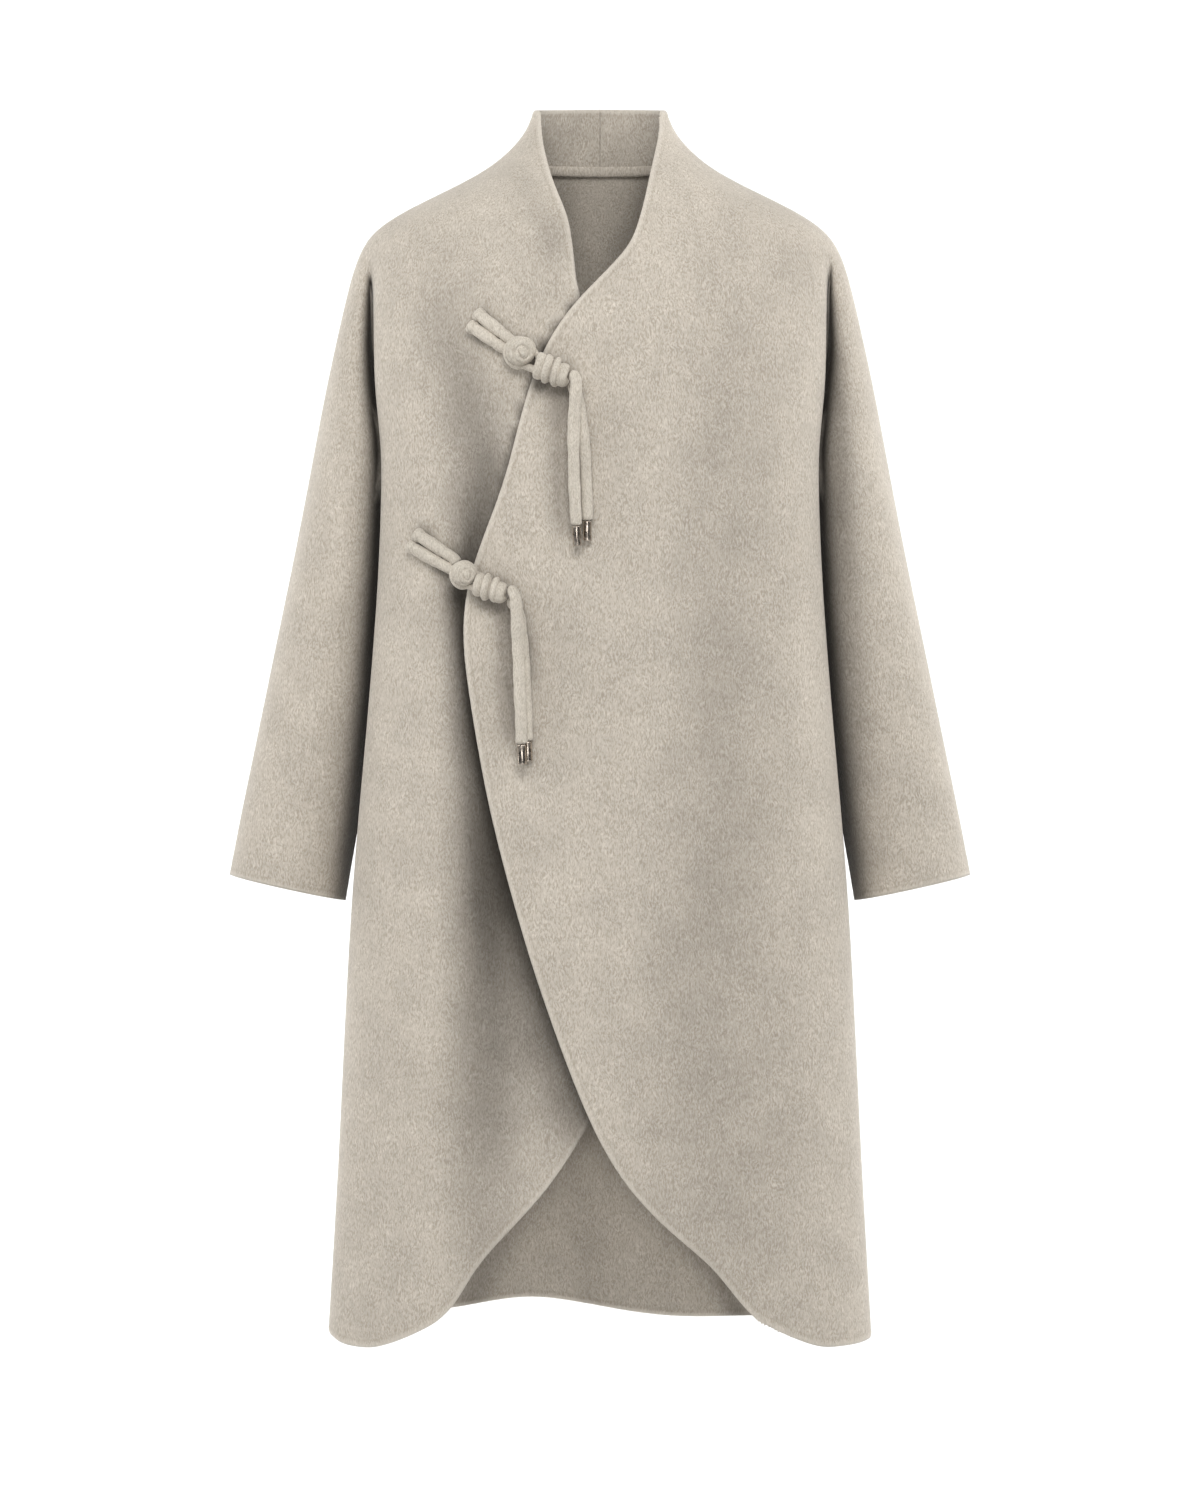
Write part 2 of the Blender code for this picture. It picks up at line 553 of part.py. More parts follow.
    def place(self, name):
        """Place of a named point."""
        if name in self.points:
            return self.points[name]
        zone, side, row, index = name
        sign = side if side else 1
        if zone == "front" and row < self.neck_row:
            x, y, z = self.collar_point(sign, row, index, False)
        elif zone == "collar_back":
            x, y, z = self.collar_point(sign, row, index, True)
        elif zone == "front":
            x, y, z = self.panel_point(sign, row, index)
        elif zone == "back":
            x, y, z = self.back_point(sign, row, index)
        elif zone == "side":
            x, y, z = self.panel_point(sign, row, FRONT_COLS + SIDE_COLS)
        elif zone == "overarm":
            x, y, z = self.arm_point(sign, row, SLEEVE_COLS, False)
        elif zone == "underarm":
            x, y, z = self.arm_point(sign, row, 0, False)
        else:
            x, y, z = self.arm_point(sign, row, index, zone == "arm_back")
        x *= sign
        if zone == "front" and side > 0:
            y -= self.fold_push("left", x, z)
        if zone == "front" and side < 0:
            covered = self.covered(x, z)
            y -= mix(self.fold_push("right", x, z), self.fold_push("left", x, z), covered)
            y += self.fall(x, z)
        if zone in ("back", "side"):
            y += self.fold_push("back", x, z)
        self.points[name] = Vector((x, y, z))
        return self.points[name]

    # -- pieces as lists of four-cornered cells

    def cells(self, zone, side, rows, columns):
        """Cells of a block of the net, wound so that they face outwards."""
        found = []
        outward = (side > 0) == (zone in ("front", "arm_front"))
        for row in rows:
            for column in columns:
                corners = [self.name(zone, side, row, column), self.name(zone, side, row + 1, column),
                           self.name(zone, side, row + 1, column + 1),
                           self.name(zone, side, row, column + 1)]
                found.append(corners if outward else corners[::-1])
        return found

    def front_cells(self, side):
        """A front with its half sleeve and its half of the collar, cut in one."""
        cells = self.cells("front", side, range(0, self.armpit_row), range(0, self.front_total))
        cells += self.cells("front", side, range(self.armpit_row, self.hem_row),
                            range(0, FRONT_COLS + SIDE_COLS))
        cells += self.cells("arm_front", side, range(self.armpit_row, self.cuff_row),
                            range(0, SLEEVE_COLS))
        cells += self.cells("collar_back", side, range(0, self.neck_row), range(0, self.back_total))
        return cells

    def back_cells(self):
        """The back with both back half sleeves, cut in one."""
        cells = []
        for side in (1, -1):
            cells += self.cells("back", side, range(self.neck_row, self.armpit_row),
                                range(0, self.back_total))
            cells += self.cells("back", side, range(self.armpit_row, self.hem_row),
                                range(0, BACK_COLS + SIDE_COLS))
            cells += self.cells("arm_back", side, range(self.armpit_row, self.cuff_row),
                                range(0, SLEEVE_COLS))
        return cells

    def learn_normals(self, pieces):
        """Outward direction at every point, from all the cells of all the pieces around it."""
        sums = {}
        for cells in pieces:
            for cell in cells:
                a, b, c, d = (self.place(name) for name in cell)
                normal = (c - a).cross(d - b)
                if normal.length > 0.0:
                    normal.normalize()
                for name in cell:
                    sums[name] = sums.get(name, Vector()) + normal
        self.normals = {name: total.normalized() for name, total in sums.items()}


# ---------------------------------------------------------------- solids from cells

def new_object(name, mesh, colour, roughness=0.9, metallic=0.0):
    """Put a mesh in the scene under a node's name, with its own material."""
    material = bpy.data.materials.new(name + "_finish")
    material.use_nodes = True
    shader = material.node_tree.nodes["Principled BSDF"]
    shader.inputs["Base Color"].default_value = colour
    shader.inputs["Roughness"].default_value = roughness
    shader.inputs["Metallic"].default_value = metallic
    material.diffuse_color = colour
    mesh.materials.append(material)
    piece = bpy.data.objects.new(name, mesh)
    bpy.context.scene.collection.objects.link(piece)
    return piece


def open_sides(cells):
    """Directed sides of cells that no other cell of the piece shares."""
    sides = [pair for cell in cells for pair in zip(cell, cell[1:] + cell[:1])]
    known = set(sides)
    return [(start, end) for start, end in sides if (end, start) not in known]


def seam_moves(coat, borders, shared):
    """Moves that hold a piece's sewn edges back from the seam's line, square to the edge."""
    inward = {}
    for start, end in borders:
        if start in shared and end in shared:
            along = (coat.place(end) - coat.place(start)).normalized()
            for name in (start, end):
                inward.setdefault(name, []).append(coat.normals[name].cross(along).normalized())
    moves = {}
    for name, ways in inward.items():
        total = sum(ways, Vector())
        spread = 1.0 + ways[0].dot(ways[1]) if len(ways) > 1 else 1.0
        moves[name] = total / spread * SEAM_PULL
    return moves


def wall(coat, name, cells, shared):
    """Closed cloth wall over a piece's cells: outer face, inner face and the cut edges."""
    mesh = bmesh.new()
    borders = open_sides(cells)
    moves = seam_moves(coat, borders, shared)
    outer, inner = {}, {}
    for point in {corner for cell in cells for corner in cell}:
        place = coat.place(point) + moves.get(point, Vector())
        outer[point] = mesh.verts.new(place)
        inner[point] = mesh.verts.new(place - coat.normals[point] * CLOTH)
    for cell in cells:
        mesh.faces.new([outer[point] for point in cell])
        mesh.faces.new([inner[point] for point in reversed(cell)])
    for start, end in borders:
        if start < end:
            mesh.faces.new([outer[end], outer[start], inner[end]])
            mesh.faces.new([outer[start], inner[start], inner[end]])
        else:
            mesh.faces.new([outer[end], outer[start], inner[start]])
            mesh.faces.new([outer[end], inner[start], inner[end]])
    data = bpy.data.meshes.new(name)
    mesh.to_mesh(data)
    mesh.free()
    data.shade_smooth()
    data.set_sharp_from_angle(angle=math.radians(50))
    return new_object(name, data, WOOL)


def build_cloth():
    """Cut and hang the three cloth pieces."""
    coat = Coat()
    pieces = {
        "front_left": coat.front_cells(1),
        "front_right": coat.front_cells(-1),
        "back": coat.back_cells(),
    }
    coat.learn_normals(pieces.values())
    owners = {}
    for name, cells in pieces.items():
        for point in {corner for cell in cells for corner in cell}:
            owners.setdefault(point, set()).add(name)
    shared = {point for point, names in owners.items() if len(names) > 1}
    for name, cells in pieces.items():
        wall(coat, name, cells, shared)
    return coat


# ---------------------------------------------------------------- strip, cords and knots

def neck_strip(coat):
    """Rounded strip over the inside of the back neck seam, from shoulder seam to shoulder seam."""
    left = [coat.name("back", 1, coat.neck_row, index) for index in range(coat.back_total - 1, 0, -2)]
    right = [coat.name("back", -1, coat.neck_row, index) for index in range(2, coat.back_total, 2)]
    names = left + [coat.name("back", 1, coat.neck_row, 0)] + right
    mesh = bmesh.new()
    rings = []
    for name in names:
        inward = -coat.normals[name]
        foot = coat.place(name) + inward * (CLOTH + STRIP_CLEAR)
        up = Vector((0.0, 0.0, 1.0)) - inward * inward.z
        up.normalize()
        ring = []
        for corner in range(STRIP_CORNERS):
            angle = math.pi * corner / (STRIP_CORNERS - 1)
            ring.append(mesh.verts.new(foot + up * math.cos(angle) * STRIP_HEIGHT / 2.0
                                       + inward * math.sin(angle) * STRIP_DEPTH))
        rings.append(ring)
    for ring, following in zip(rings, rings[1:]):
        for corner in range(STRIP_CORNERS):
            beside = (corner + 1) % STRIP_CORNERS
            mesh.faces.new([ring[corner], ring[beside], following[beside], following[corner]])
    mesh.faces.new(rings[0][::-1])
    mesh.faces.new(rings[-1])
    bmesh.ops.recalc_face_normals(mesh, faces=mesh.faces)
    data = bpy.data.meshes.new("neck_strip")
    mesh.to_mesh(data)
    mesh.free()
    data.shade_smooth()
    new_object("neck_strip", data, WOOL)


def smooth_route(route, spacing):
    """Evenly spaced points on a smooth curve through the route's own points."""
    route = [Vector(point) for point in route]
    padded = [route[0] * 2 - route[1]] + route + [route[-1] * 2 - route[-2]]
    fine = []
    for a, b, c, d in zip(padded, padded[1:], padded[2:], padded[3:]):
        for step in range(12):
            t = step / 12.0
            fine.append(0.5 * (2 * b + (c - a) * t + (2 * a - 5 * b + 4 * c - d) * t ** 2
                               + (3 * b - a - 3 * c + d) * t ** 3))
    fine.append(route[-1])
    lengths = np.cumsum([0.0] + [(q - p).length for p, q in zip(fine, fine[1:])])
    count = max(2, round(lengths[-1] / spacing) + 1)
    wanted = np.linspace(0.0, lengths[-1], count)
    axes = [np.interp(wanted, lengths, [point[axis] for point in fine]) for axis in range(3)]
    return [Vector(point) for point in zip(*axes)], wanted


def tube(name, route, radius, spacing, colour, widths=None):
    """Round cord along a route; widths gives its radius by the distance from both ends."""
    points, along = smooth_route(route, spacing)
    curve = bpy.data.curves.new(name, "CURVE")
    curve.dimensions = "3D"
    curve.bevel_depth = radius
    curve.bevel_resolution = 2
    curve.use_fill_caps = True
    spline = curve.splines.new("POLY")
    spline.points.add(len(points) - 1)
    for knot, point, distance in zip(spline.points, points, along):
        knot.co = (*point, 1.0)
        knot.radius = widths(distance, along[-1] - distance) if widths else 1.0
    return new_object(name, curve, colour)


def leg_width(from_end, from_knot):
    """A leg's radius as a share: rounded cloth cap at its free end, thin where it meets the knot."""
    if from_end < 0.0005:
        return 0.80
    cap = LEG_CAP_SWELL if from_end < LEG_CAP else 1.0
    thin = mix(LEG_TIP_RADIUS / LEG_RADIUS, 1.0, ease(from_knot / LEG_TAPER))
    return cap * thin


def surface_of(*names):
    """Search tree over finished pieces, to lay others on them."""
    corners, faces = [], []
    for name in names:
        data = bpy.data.objects[name].data
        first = len(corners)
        corners += [vertex.co.copy() for vertex in data.vertices]
        faces += [[first + corner for corner in face.vertices] for face in data.polygons]
    return BVHTree.FromPolygons(corners, faces)


def laid_on(tree, x, z, height):
    """Point at a height over a panel, seen from the front at x and z."""
    place, normal, _, _ = tree.ray_cast(Vector((x, -1.0, z)), Vector((0.0, 1.0, 0.0)))
    return place + normal * height


def ball_knot(name, centre, radius, axis):
    """Ball knot: a sphere whose skin swells in parallel turns of cord."""
    mesh = bmesh.new()
    bmesh.ops.create_uvsphere(mesh, u_segments=16, v_segments=15, radius=1.0)
    turn = Vector((0.0, 0.0, 1.0)).rotation_difference(axis)
    for vertex in mesh.verts:
        latitude = math.asin(max(-1.0, min(1.0, vertex.co.z))) / math.pi
        swell = abs(math.cos(latitude * math.pi * BALL_TURNS))
        vertex.co = turn @ (vertex.co * radius * (1.0 - BALL_RIDGE * (1.0 - swell))) + centre
    data = bpy.data.meshes.new(name)
    mesh.to_mesh(data)
    mesh.free()
    data.shade_smooth()
    new_object(name, data, WOOL_CORD)


def wrapped_roll(name, start, end, radius):
    """Roll of cord wraps between two points: one turned body whose outline swells at each turn."""
    axis = (end - start).normalized()
    length = (end - start).length
    across = axis.orthogonal().normalized()
    turn_length = length / WRAP_TURNS
    outline = [(0.0, radius * ROLL_END)]
    for turn in range(WRAP_TURNS):
        for share, swell in WRAP_SWELL:
            outline.append(((turn + share) * turn_length, radius * swell))
    outline.append((length, radius * ROLL_END))
    mesh = bmesh.new()
    rim = [mesh.verts.new(start + axis * along + across * out) for along, out in outline]
    ends = [mesh.verts.new(start), mesh.verts.new(end)]
    chain = [ends[0]] + rim + [ends[1]]
    edges = [mesh.edges.new(pair) for pair in zip(chain, chain[1:])]
    bmesh.ops.spin(mesh, geom=edges, cent=start, axis=axis, angle=2.0 * math.pi, steps=14,
                   use_merge=True)
    bmesh.ops.remove_doubles(mesh, verts=mesh.verts, dist=0.00002)
    bmesh.ops.recalc_face_normals(mesh, faces=mesh.faces)
    data = bpy.data.meshes.new(name)
    mesh.to_mesh(data)
    mesh.free()
    data.shade_smooth()
    data.set_sharp_from_angle(angle=math.radians(60))
    new_object(name, data, WOOL_CORD)


def loop_route(ball, ball_radius, wrap_start, axis, start_angle):
    """Route of the loop: out of the roll, round the ball knot over its legs, and back."""
    ahead = Vector((axis.x, 0.0, axis.z)).normalized()
    above = Vector((-ahead.z, 0.0, ahead.x))
    clear = ball_radius + LOOP_RADIUS + TOUCH
    rest_y = ball.y + LOOP_BEHIND
    route = []
    for degrees in (start_angle, *LOOP_TURNS):
        angle = math.radians(degrees)
        y = rest_y + LOOP_SLANT * math.sin(angle)
        reach = math.sqrt(clear ** 2 - (y - ball.y) ** 2) + TOUCH
        flat = ahead * math.cos(angle) + above * math.sin(angle)
        route.append(Vector((ball.x, y, ball.z)) + flat * reach)
    route.append(wrap_start - axis * 4.0 * TOUCH - above * LOOP_ENTRY)
    return route


def aglet(name, route):
    """Metal sleeve on a tail's end, in line with its last stretch."""
    last, before = Vector(route[-1]), Vector(route[-2])
    way = (last - before).normalized()
    top = last + way * TOUCH
    mesh = bmesh.new()
    bmesh.ops.create_cone(mesh, cap_ends=True, segments=12, radius1=AGLET_RADIUS,
                          radius2=AGLET_RADIUS, depth=AGLET_LENGTH)
    rims = [edge for edge in mesh.edges if abs(edge.verts[0].co.z - edge.verts[1].co.z) < 1e-6]
    bmesh.ops.bevel(mesh, geom=rims, offset=AGLET_EDGE, segments=1, profile=0.5, affect="EDGES",
                    material=-1)
    turn = Vector((0.0, 0.0, 1.0)).rotation_difference(way)
    centre = top + way * AGLET_LENGTH / 2.0
    for vertex in mesh.verts:
        vertex.co = turn @ vertex.co + centre
    data = bpy.data.meshes.new(name)
    mesh.to_mesh(data)
    mesh.free()
    data.shade_smooth()
    data.set_sharp_from_angle(angle=math.radians(40))
    new_object(name, data, GUNMETAL, roughness=0.3, metallic=1.0)


def build_tie(name, sizes, under):
    """One tie: legs, ball knot, loop, wrapped roll, two tails and their aglets."""
    for leg in ("leg_upper", "leg_lower"):
        route = []
        for x, z in sizes[leg]:
            share = 1.0 if (x, z) != sizes[leg][-1] else LEG_TIP_RADIUS / LEG_RADIUS
            route.append(laid_on(under, x, z, LEG_RADIUS * LEG_CAP_SWELL * share + LEG_CLEAR))
        tube(f"{name}_{leg}", route, LEG_RADIUS, LEG_STEP, WOOL_CORD, leg_width)
    ball = Vector(sizes["ball"])
    start, end = Vector(sizes["wrap_start"]), Vector(sizes["wrap_end"])
    axis = (end - start).normalized()
    ball_knot(f"{name}_ball_knot", ball, sizes["ball_radius"], axis)
    wrapped_roll(f"{name}_wrapped_roll", start, end, sizes["wrap_radius"])
    route = loop_route(ball, sizes["ball_radius"], start, axis, sizes["loop_angle"])
    tube(f"{name}_loop", route, LOOP_RADIUS, LOOP_STEP, WOOL_CORD)
    for tail in ("tail_front", "tail_back"):
        tube(f"{name}_{tail}", sizes[tail], CORD_RADIUS, TAIL_STEP, WOOL_CORD)
        aglet(f"{name}_aglet_{tail[5:]}", sizes[tail])


def clear_scene():
    """Remove what the file opened with."""
    for thing in list(bpy.data.objects):
        bpy.data.objects.remove(thing, do_unlink=True)


def main():
    """Build the whole coat."""
    clear_scene()
    coat = build_cloth()
    neck_strip(coat)
    under = surface_of("front_right")
    for name, sizes in TIES.items():
        build_tie(name, sizes, under)


main()
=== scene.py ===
"""Wrap coat of brushed double-faced wool, dressed around its fixed frame.

The three cut pieces are thin shells on the frame's own net, the ties are soft wool cords,
and the coat hangs hollow in front of a plain pale studio sweep.
"""
import math

import bmesh
import bpy
import numpy as np
from bpy.props import FloatProperty, FloatVectorProperty, IntProperty, PointerProperty
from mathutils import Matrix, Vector
from mathutils.bvhtree import BVHTree
from mathutils.kdtree import KDTree


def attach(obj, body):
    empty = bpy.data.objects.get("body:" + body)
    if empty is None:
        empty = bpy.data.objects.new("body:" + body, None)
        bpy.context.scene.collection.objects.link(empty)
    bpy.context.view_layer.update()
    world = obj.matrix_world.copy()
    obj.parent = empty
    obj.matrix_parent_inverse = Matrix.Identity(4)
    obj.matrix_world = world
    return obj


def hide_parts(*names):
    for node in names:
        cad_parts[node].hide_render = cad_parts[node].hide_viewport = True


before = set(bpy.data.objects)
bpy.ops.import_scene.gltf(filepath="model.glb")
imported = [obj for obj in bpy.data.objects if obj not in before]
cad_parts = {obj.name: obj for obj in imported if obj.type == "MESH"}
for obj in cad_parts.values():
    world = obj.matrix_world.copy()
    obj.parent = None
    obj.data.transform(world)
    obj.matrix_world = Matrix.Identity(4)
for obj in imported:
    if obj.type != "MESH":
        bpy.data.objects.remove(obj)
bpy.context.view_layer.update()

bl_info = {
    "name": "Wrap coat",
    "version": (1, 0, 0),
    "blender": (4, 5, 0),
    "location": "View3D > Sidebar > Coat",
    "description": "Builds the cloth, cords, metal tips and studio of a wrap coat around its frame",
    "category": "Add Mesh",
}

BODY = "root"

# ---------------------------------------------------------------- facts of the cloth (metres)

CLOTH = 0.0025            # wall of the cut pieces in the frame
MERGE = 0.00003           # points of a solid nearer than this are one
DOUBLES = 0.000002        # the same for points of a made piece
WALL_LEAN = 0.25          # an edge through the wall runs along the normals by more than this, of 1
CELL_ANGLE = 60.0         # triangles that turn less than this become one cell, degrees
CORNER_ANGLE = 130.0      # free edges that meet more sharply than this make a corner, degrees
CORNER_REACH = 0.012      # part of the outline rounded off at a corner
CORNER_TURNS = 6          # rounds of smoothing there
SEWN_REACH = 0.0012       # edges of two pieces nearer than this are sewn together
BORDER_STEP = 0.0012      # spacing of the points that stand for an edge
EDGE_BAND = 0.011         # width of the finely divided band along the free edges
SEAM_BAND = 0.002         # width of the same along the sewn edges
FINE_CELL = 0.010         # cells with a shorter outline than this are fine enough
FINE_CUTS = 3             # cuts of each edge in those bands

# flat cut of each piece: width and length of the cloth it is cut from, and its own area
CUTS = {
    "front_left": ((0.78, 1.13), 0.434),
    "front_right": ((0.78, 1.13), 0.426),
    "back": ((1.36, 1.09), 0.754),
}

# turned and sewn free edge: how far the outer face stands proud, and the wall, by the distance in
EDGE_PROFILE = [
    # distance, proud, wall
    (0.0000, -0.00110, 0.0014),
    (0.0008, -0.00045, 0.0020),
    (0.0018, -0.00005, 0.0025),
    (0.0032, 0.00024, 0.0028),
    (0.0048, 0.00014, 0.0027),
    (0.0062, -0.00022, 0.0024),
    (0.0078, -0.00004, 0.0025),
    (0.0095, 0.00000, 0.0025),
]
# sewn edge: both pieces roll in a little along the seam
SEAM_PROFILE = [
    # distance, sink
    (0.0000, -0.00035),
    (0.0010, -0.00010),
    (0.0024, 0.00000),
]
SEAM_FADE = 0.006         # the turned edge dies away this far before a seam
SEAM_LAP = 0.00018        # how far sewn edges reach past the middle of the gap between them
SEAM_LINES = 6            # lines of the other pieces' edges that are tried for each point

# how open each point of the cloth is to the air, from 0 to 1; the wool's colour is darkened where it
# is closed in, as painted shade
SHADE_RAYS = 44           # ways looked at from each point
SHADE_START = 0.0015      # how far off the cloth they start
SHADE_REACH = 0.050       # how far off other cloth shades a point
HOLLOW_REACH = 0.060      # the same inside the coat
CORD_REACH = 0.020        # the same for the cords
CORD_SHADE = 0.6          # share of the air that a cord takes where it touches
GOLDEN_ANGLE = 137.508    # turn from each way to the next, degrees
OPENNESS_LAYERS = ("openness", "hollow_openness")     # on the outer and the inner side
DEEP_OPENNESS = 0.25      # here and below, the painted shade is at its darkest
CLEAR_OPENNESS = 1.0      # here, no shade is painted

CREASE_END, CREASE_FADE = 0.02, 0.8   # how a crease dies away at its ends

# soft creases: points as (x, z), half width and rise; a trough has a negative rise
CREASES = {
    "front_left": [
        ([(0.110, -0.220), (0.109, -0.480), (0.100, -0.660), (0.078, -0.950)], 0.036, -0.0034),
        ([(0.168, -0.220), (0.176, -0.450), (0.186, -0.700)], 0.018, 0.0016),
        ([(0.046, -0.655), (0.024, -0.694), (-0.004, -0.722)], 0.008, -0.0009),
        ([(0.060, -0.045), (0.105, -0.075), (0.165, -0.110)], 0.016, -0.0016),
        ([(0.030, -0.120), (0.036, -0.200), (0.040, -0.300)], 0.020, 0.0014),
        ([(0.205, -0.150), (0.222, -0.215), (0.226, -0.290)], 0.012, -0.0014),
        ([(0.205, -0.395), (0.240, -0.420), (0.275, -0.470)], 0.012, -0.0013),
        ([(0.215, -0.455), (0.250, -0.500), (0.285, -0.520)], 0.011, 0.0011),
        ([(0.225, -0.560), (0.270, -0.600)], 0.013, -0.0010),
        ([(0.150, -0.880), (0.170, -0.960), (0.176, -1.040)], 0.020, -0.0018),
        ([(0.045, -0.900), (0.075, -0.965)], 0.018, 0.0012),
    ],
    "front_right": [
        ([(-0.060, -0.035), (-0.062, -0.090), (-0.072, -0.160)], 0.018, 0.0022),
        ([(-0.085, -0.050), (-0.125, -0.085), (-0.170, -0.115)], 0.016, -0.0016),
        ([(-0.108, -0.190), (-0.108, -0.262), (-0.106, -0.360)], 0.018, -0.0040),
        ([(-0.100, -0.560), (-0.098, -0.720), (-0.100, -1.000)], 0.022, -0.0050),
        ([(-0.142, -0.420), (-0.143, -0.600), (-0.140, -0.900)], 0.012, 0.0010),
        ([(-0.205, -0.150), (-0.222, -0.215), (-0.226, -0.290)], 0.012, -0.0014),
        ([(-0.202, -0.385), (-0.240, -0.428), (-0.272, -0.455)], 0.012, -0.0012),
        ([(-0.215, -0.470), (-0.246, -0.492), (-0.280, -0.540)], 0.011, 0.0012),
        ([(-0.232, -0.570), (-0.275, -0.592)], 0.013, -0.0010),
        ([(-0.178, -0.420), (-0.186, -0.560), (-0.192, -0.700)], 0.012, -0.0014),
        ([(-0.170, -0.820), (-0.190, -0.920), (-0.196, -1.040)], 0.020, -0.0016),
    ],
    "back": [
        ([(0.060, -0.020), (0.110, -0.060), (0.175, -0.115)], 0.018, -0.0018),
        ([(-0.056, -0.022), (-0.115, -0.065), (-0.170, -0.110)], 0.018, -0.0016),
        ([(0.190, -0.215), (0.130, -0.250), (0.070, -0.300)], 0.016, -0.0018),
        ([(-0.188, -0.220), (-0.140, -0.262), (-0.080, -0.290)], 0.016, -0.0016),
        ([(0.185, -0.300), (0.150, -0.360), (0.120, -0.450)], 0.014, 0.0014),
        ([(-0.183, -0.290), (-0.150, -0.345), (-0.125, -0.460)], 0.014, 0.0014),
        ([(0.205, -0.400), (0.240, -0.425), (0.275, -0.470)], 0.012, -0.0013),
        ([(-0.202, -0.395), (-0.240, -0.435), (-0.270, -0.465)], 0.012, -0.0013),
        ([(0.218, -0.505), (0.262, -0.540)], 0.012, -0.0011),
        ([(-0.222, -0.520), (-0.265, -0.545)], 0.012, -0.0011),
        ([(0.020, -0.400), (0.012, -0.560), (0.018, -0.700)], 0.020, -0.0020),
    ],
}

STRIP_PARTS = 24          # parts of the neck strip whose middles give its line
STRIP_TALL, STRIP_FLAT = 1.24, 0.72   # how much taller and flatter than its solid it is
STRIP_SAG = 0.0006        # how far its middle hangs down

PAINTED_SHADE_WOOL = (0.020, 0.016, 0.012)     # painted shade: the colour the wool is darkened towards in deep folds, under the cords and where other cloth closes it in

# painted shade where the cloth lies deep in a fold, beside the overlap and under the cords: rows of
# x, z, half width and depth of shade along it
PAINTED_FOLD_SHADES = {
    "front_left": [
        # down the front
        [(0.110, -0.235, 0.036, 0.04), (0.106, -0.620, 0.044, 0.17), (0.088, -0.700, 0.044, 0.16),
         (0.078, -0.800, 0.046, 0.15), (0.074, -0.900, 0.050, 0.10), (0.086, -0.980, 0.050, 0.05)],
        [(0.117, -0.139, 0.045, 0.09), (0.117, -0.243, 0.045, 0.12), (0.106, -0.330, 0.045, 0.08),
         (0.106, -0.573, 0.042, 0.05), (0.121, -0.704, 0.050, 0.08), (0.130, -0.834, 0.059, 0.10),
         (0.121, -0.965, 0.070, 0.13)],
        # below the shoulder
        [(0.147, -0.056, 0.042, 0.08), (0.178, -0.100, 0.031, 0.10), (0.187, -0.139, 0.026, 0.08)],
        # inner side of the sleeve
        [(0.208, -0.144, 0.008, 0.12), (0.212, -0.182, 0.011, 0.36), (0.213, -0.235, 0.013, 0.48),
         (0.214, -0.307, 0.013, 0.48), (0.228, -0.485, 0.016, 0.28), (0.250, -0.628, 0.018, 0.06)],
        # painted shadow beneath the upper roll and beside its hanging cords
        [(-0.067, -0.203, 0.007, 0.32), (-0.051, -0.214, 0.009, 0.60), (-0.040, -0.220, 0.010, 0.46),
         (-0.035, -0.234, 0.012, 0.48), (-0.035, -0.260, 0.012, 0.36), (-0.034, -0.313, 0.011, 0.34),
         (-0.033, -0.334, 0.010, 0.26), (-0.033, -0.352, 0.007, 0.06)],
        [(-0.030, -0.208, 0.005, 0.45), (-0.030, -0.219, 0.005, 0.60), (-0.029, -0.230, 0.005, 0.20)],
        # the same at the lower roll
        [(-0.110, -0.389, 0.007, 0.26), (-0.100, -0.398, 0.008, 0.44), (-0.083, -0.413, 0.010, 0.56),
         (-0.079, -0.513, 0.010, 0.44), (-0.078, -0.540, 0.006, 0.06)],
    ],
    "front_right": [
        # along the overlap
        [(-0.150, -0.100, 0.017, 0.06), (-0.147, -0.126, 0.021, 0.18), (-0.116, -0.221, 0.028, 0.38),
         (-0.101, -0.287, 0.029, 0.62), (-0.105, -0.321, 0.026, 0.74), (-0.112, -0.352, 0.018, 0.84),
         (-0.123, -0.387, 0.017, 0.92), (-0.117, -0.452, 0.014, 0.95), (-0.107, -0.521, 0.019, 0.96),
         (-0.097, -0.556, 0.026, 0.96), (-0.079, -0.660, 0.031, 0.90), (-0.064, -0.704, 0.028, 0.82),
         (-0.013, -0.843, 0.038, 0.64)],
        # from the lower tie to the hem
        [(-0.110, -0.573, 0.012, 0.10), (-0.107, -0.617, 0.016, 0.44), (-0.100, -0.704, 0.023, 0.62),
         (-0.093, -0.791, 0.031, 0.50), (-0.094, -0.834, 0.033, 0.44), (-0.098, -0.921, 0.031, 0.28),
         (-0.101, -1.008, 0.023, 0.10)],
        # beside the collar
        [(-0.070, -0.021, 0.016, 0.04), (-0.042, -0.080, 0.017, 0.27), (-0.039, -0.130, 0.012, 0.05)],
        # below the shoulder
        [(-0.140, -0.065, 0.038, 0.05), (-0.115, -0.106, 0.040, 0.10), (-0.096, -0.139, 0.031, 0.05)],
    ],
    "back": [],
}
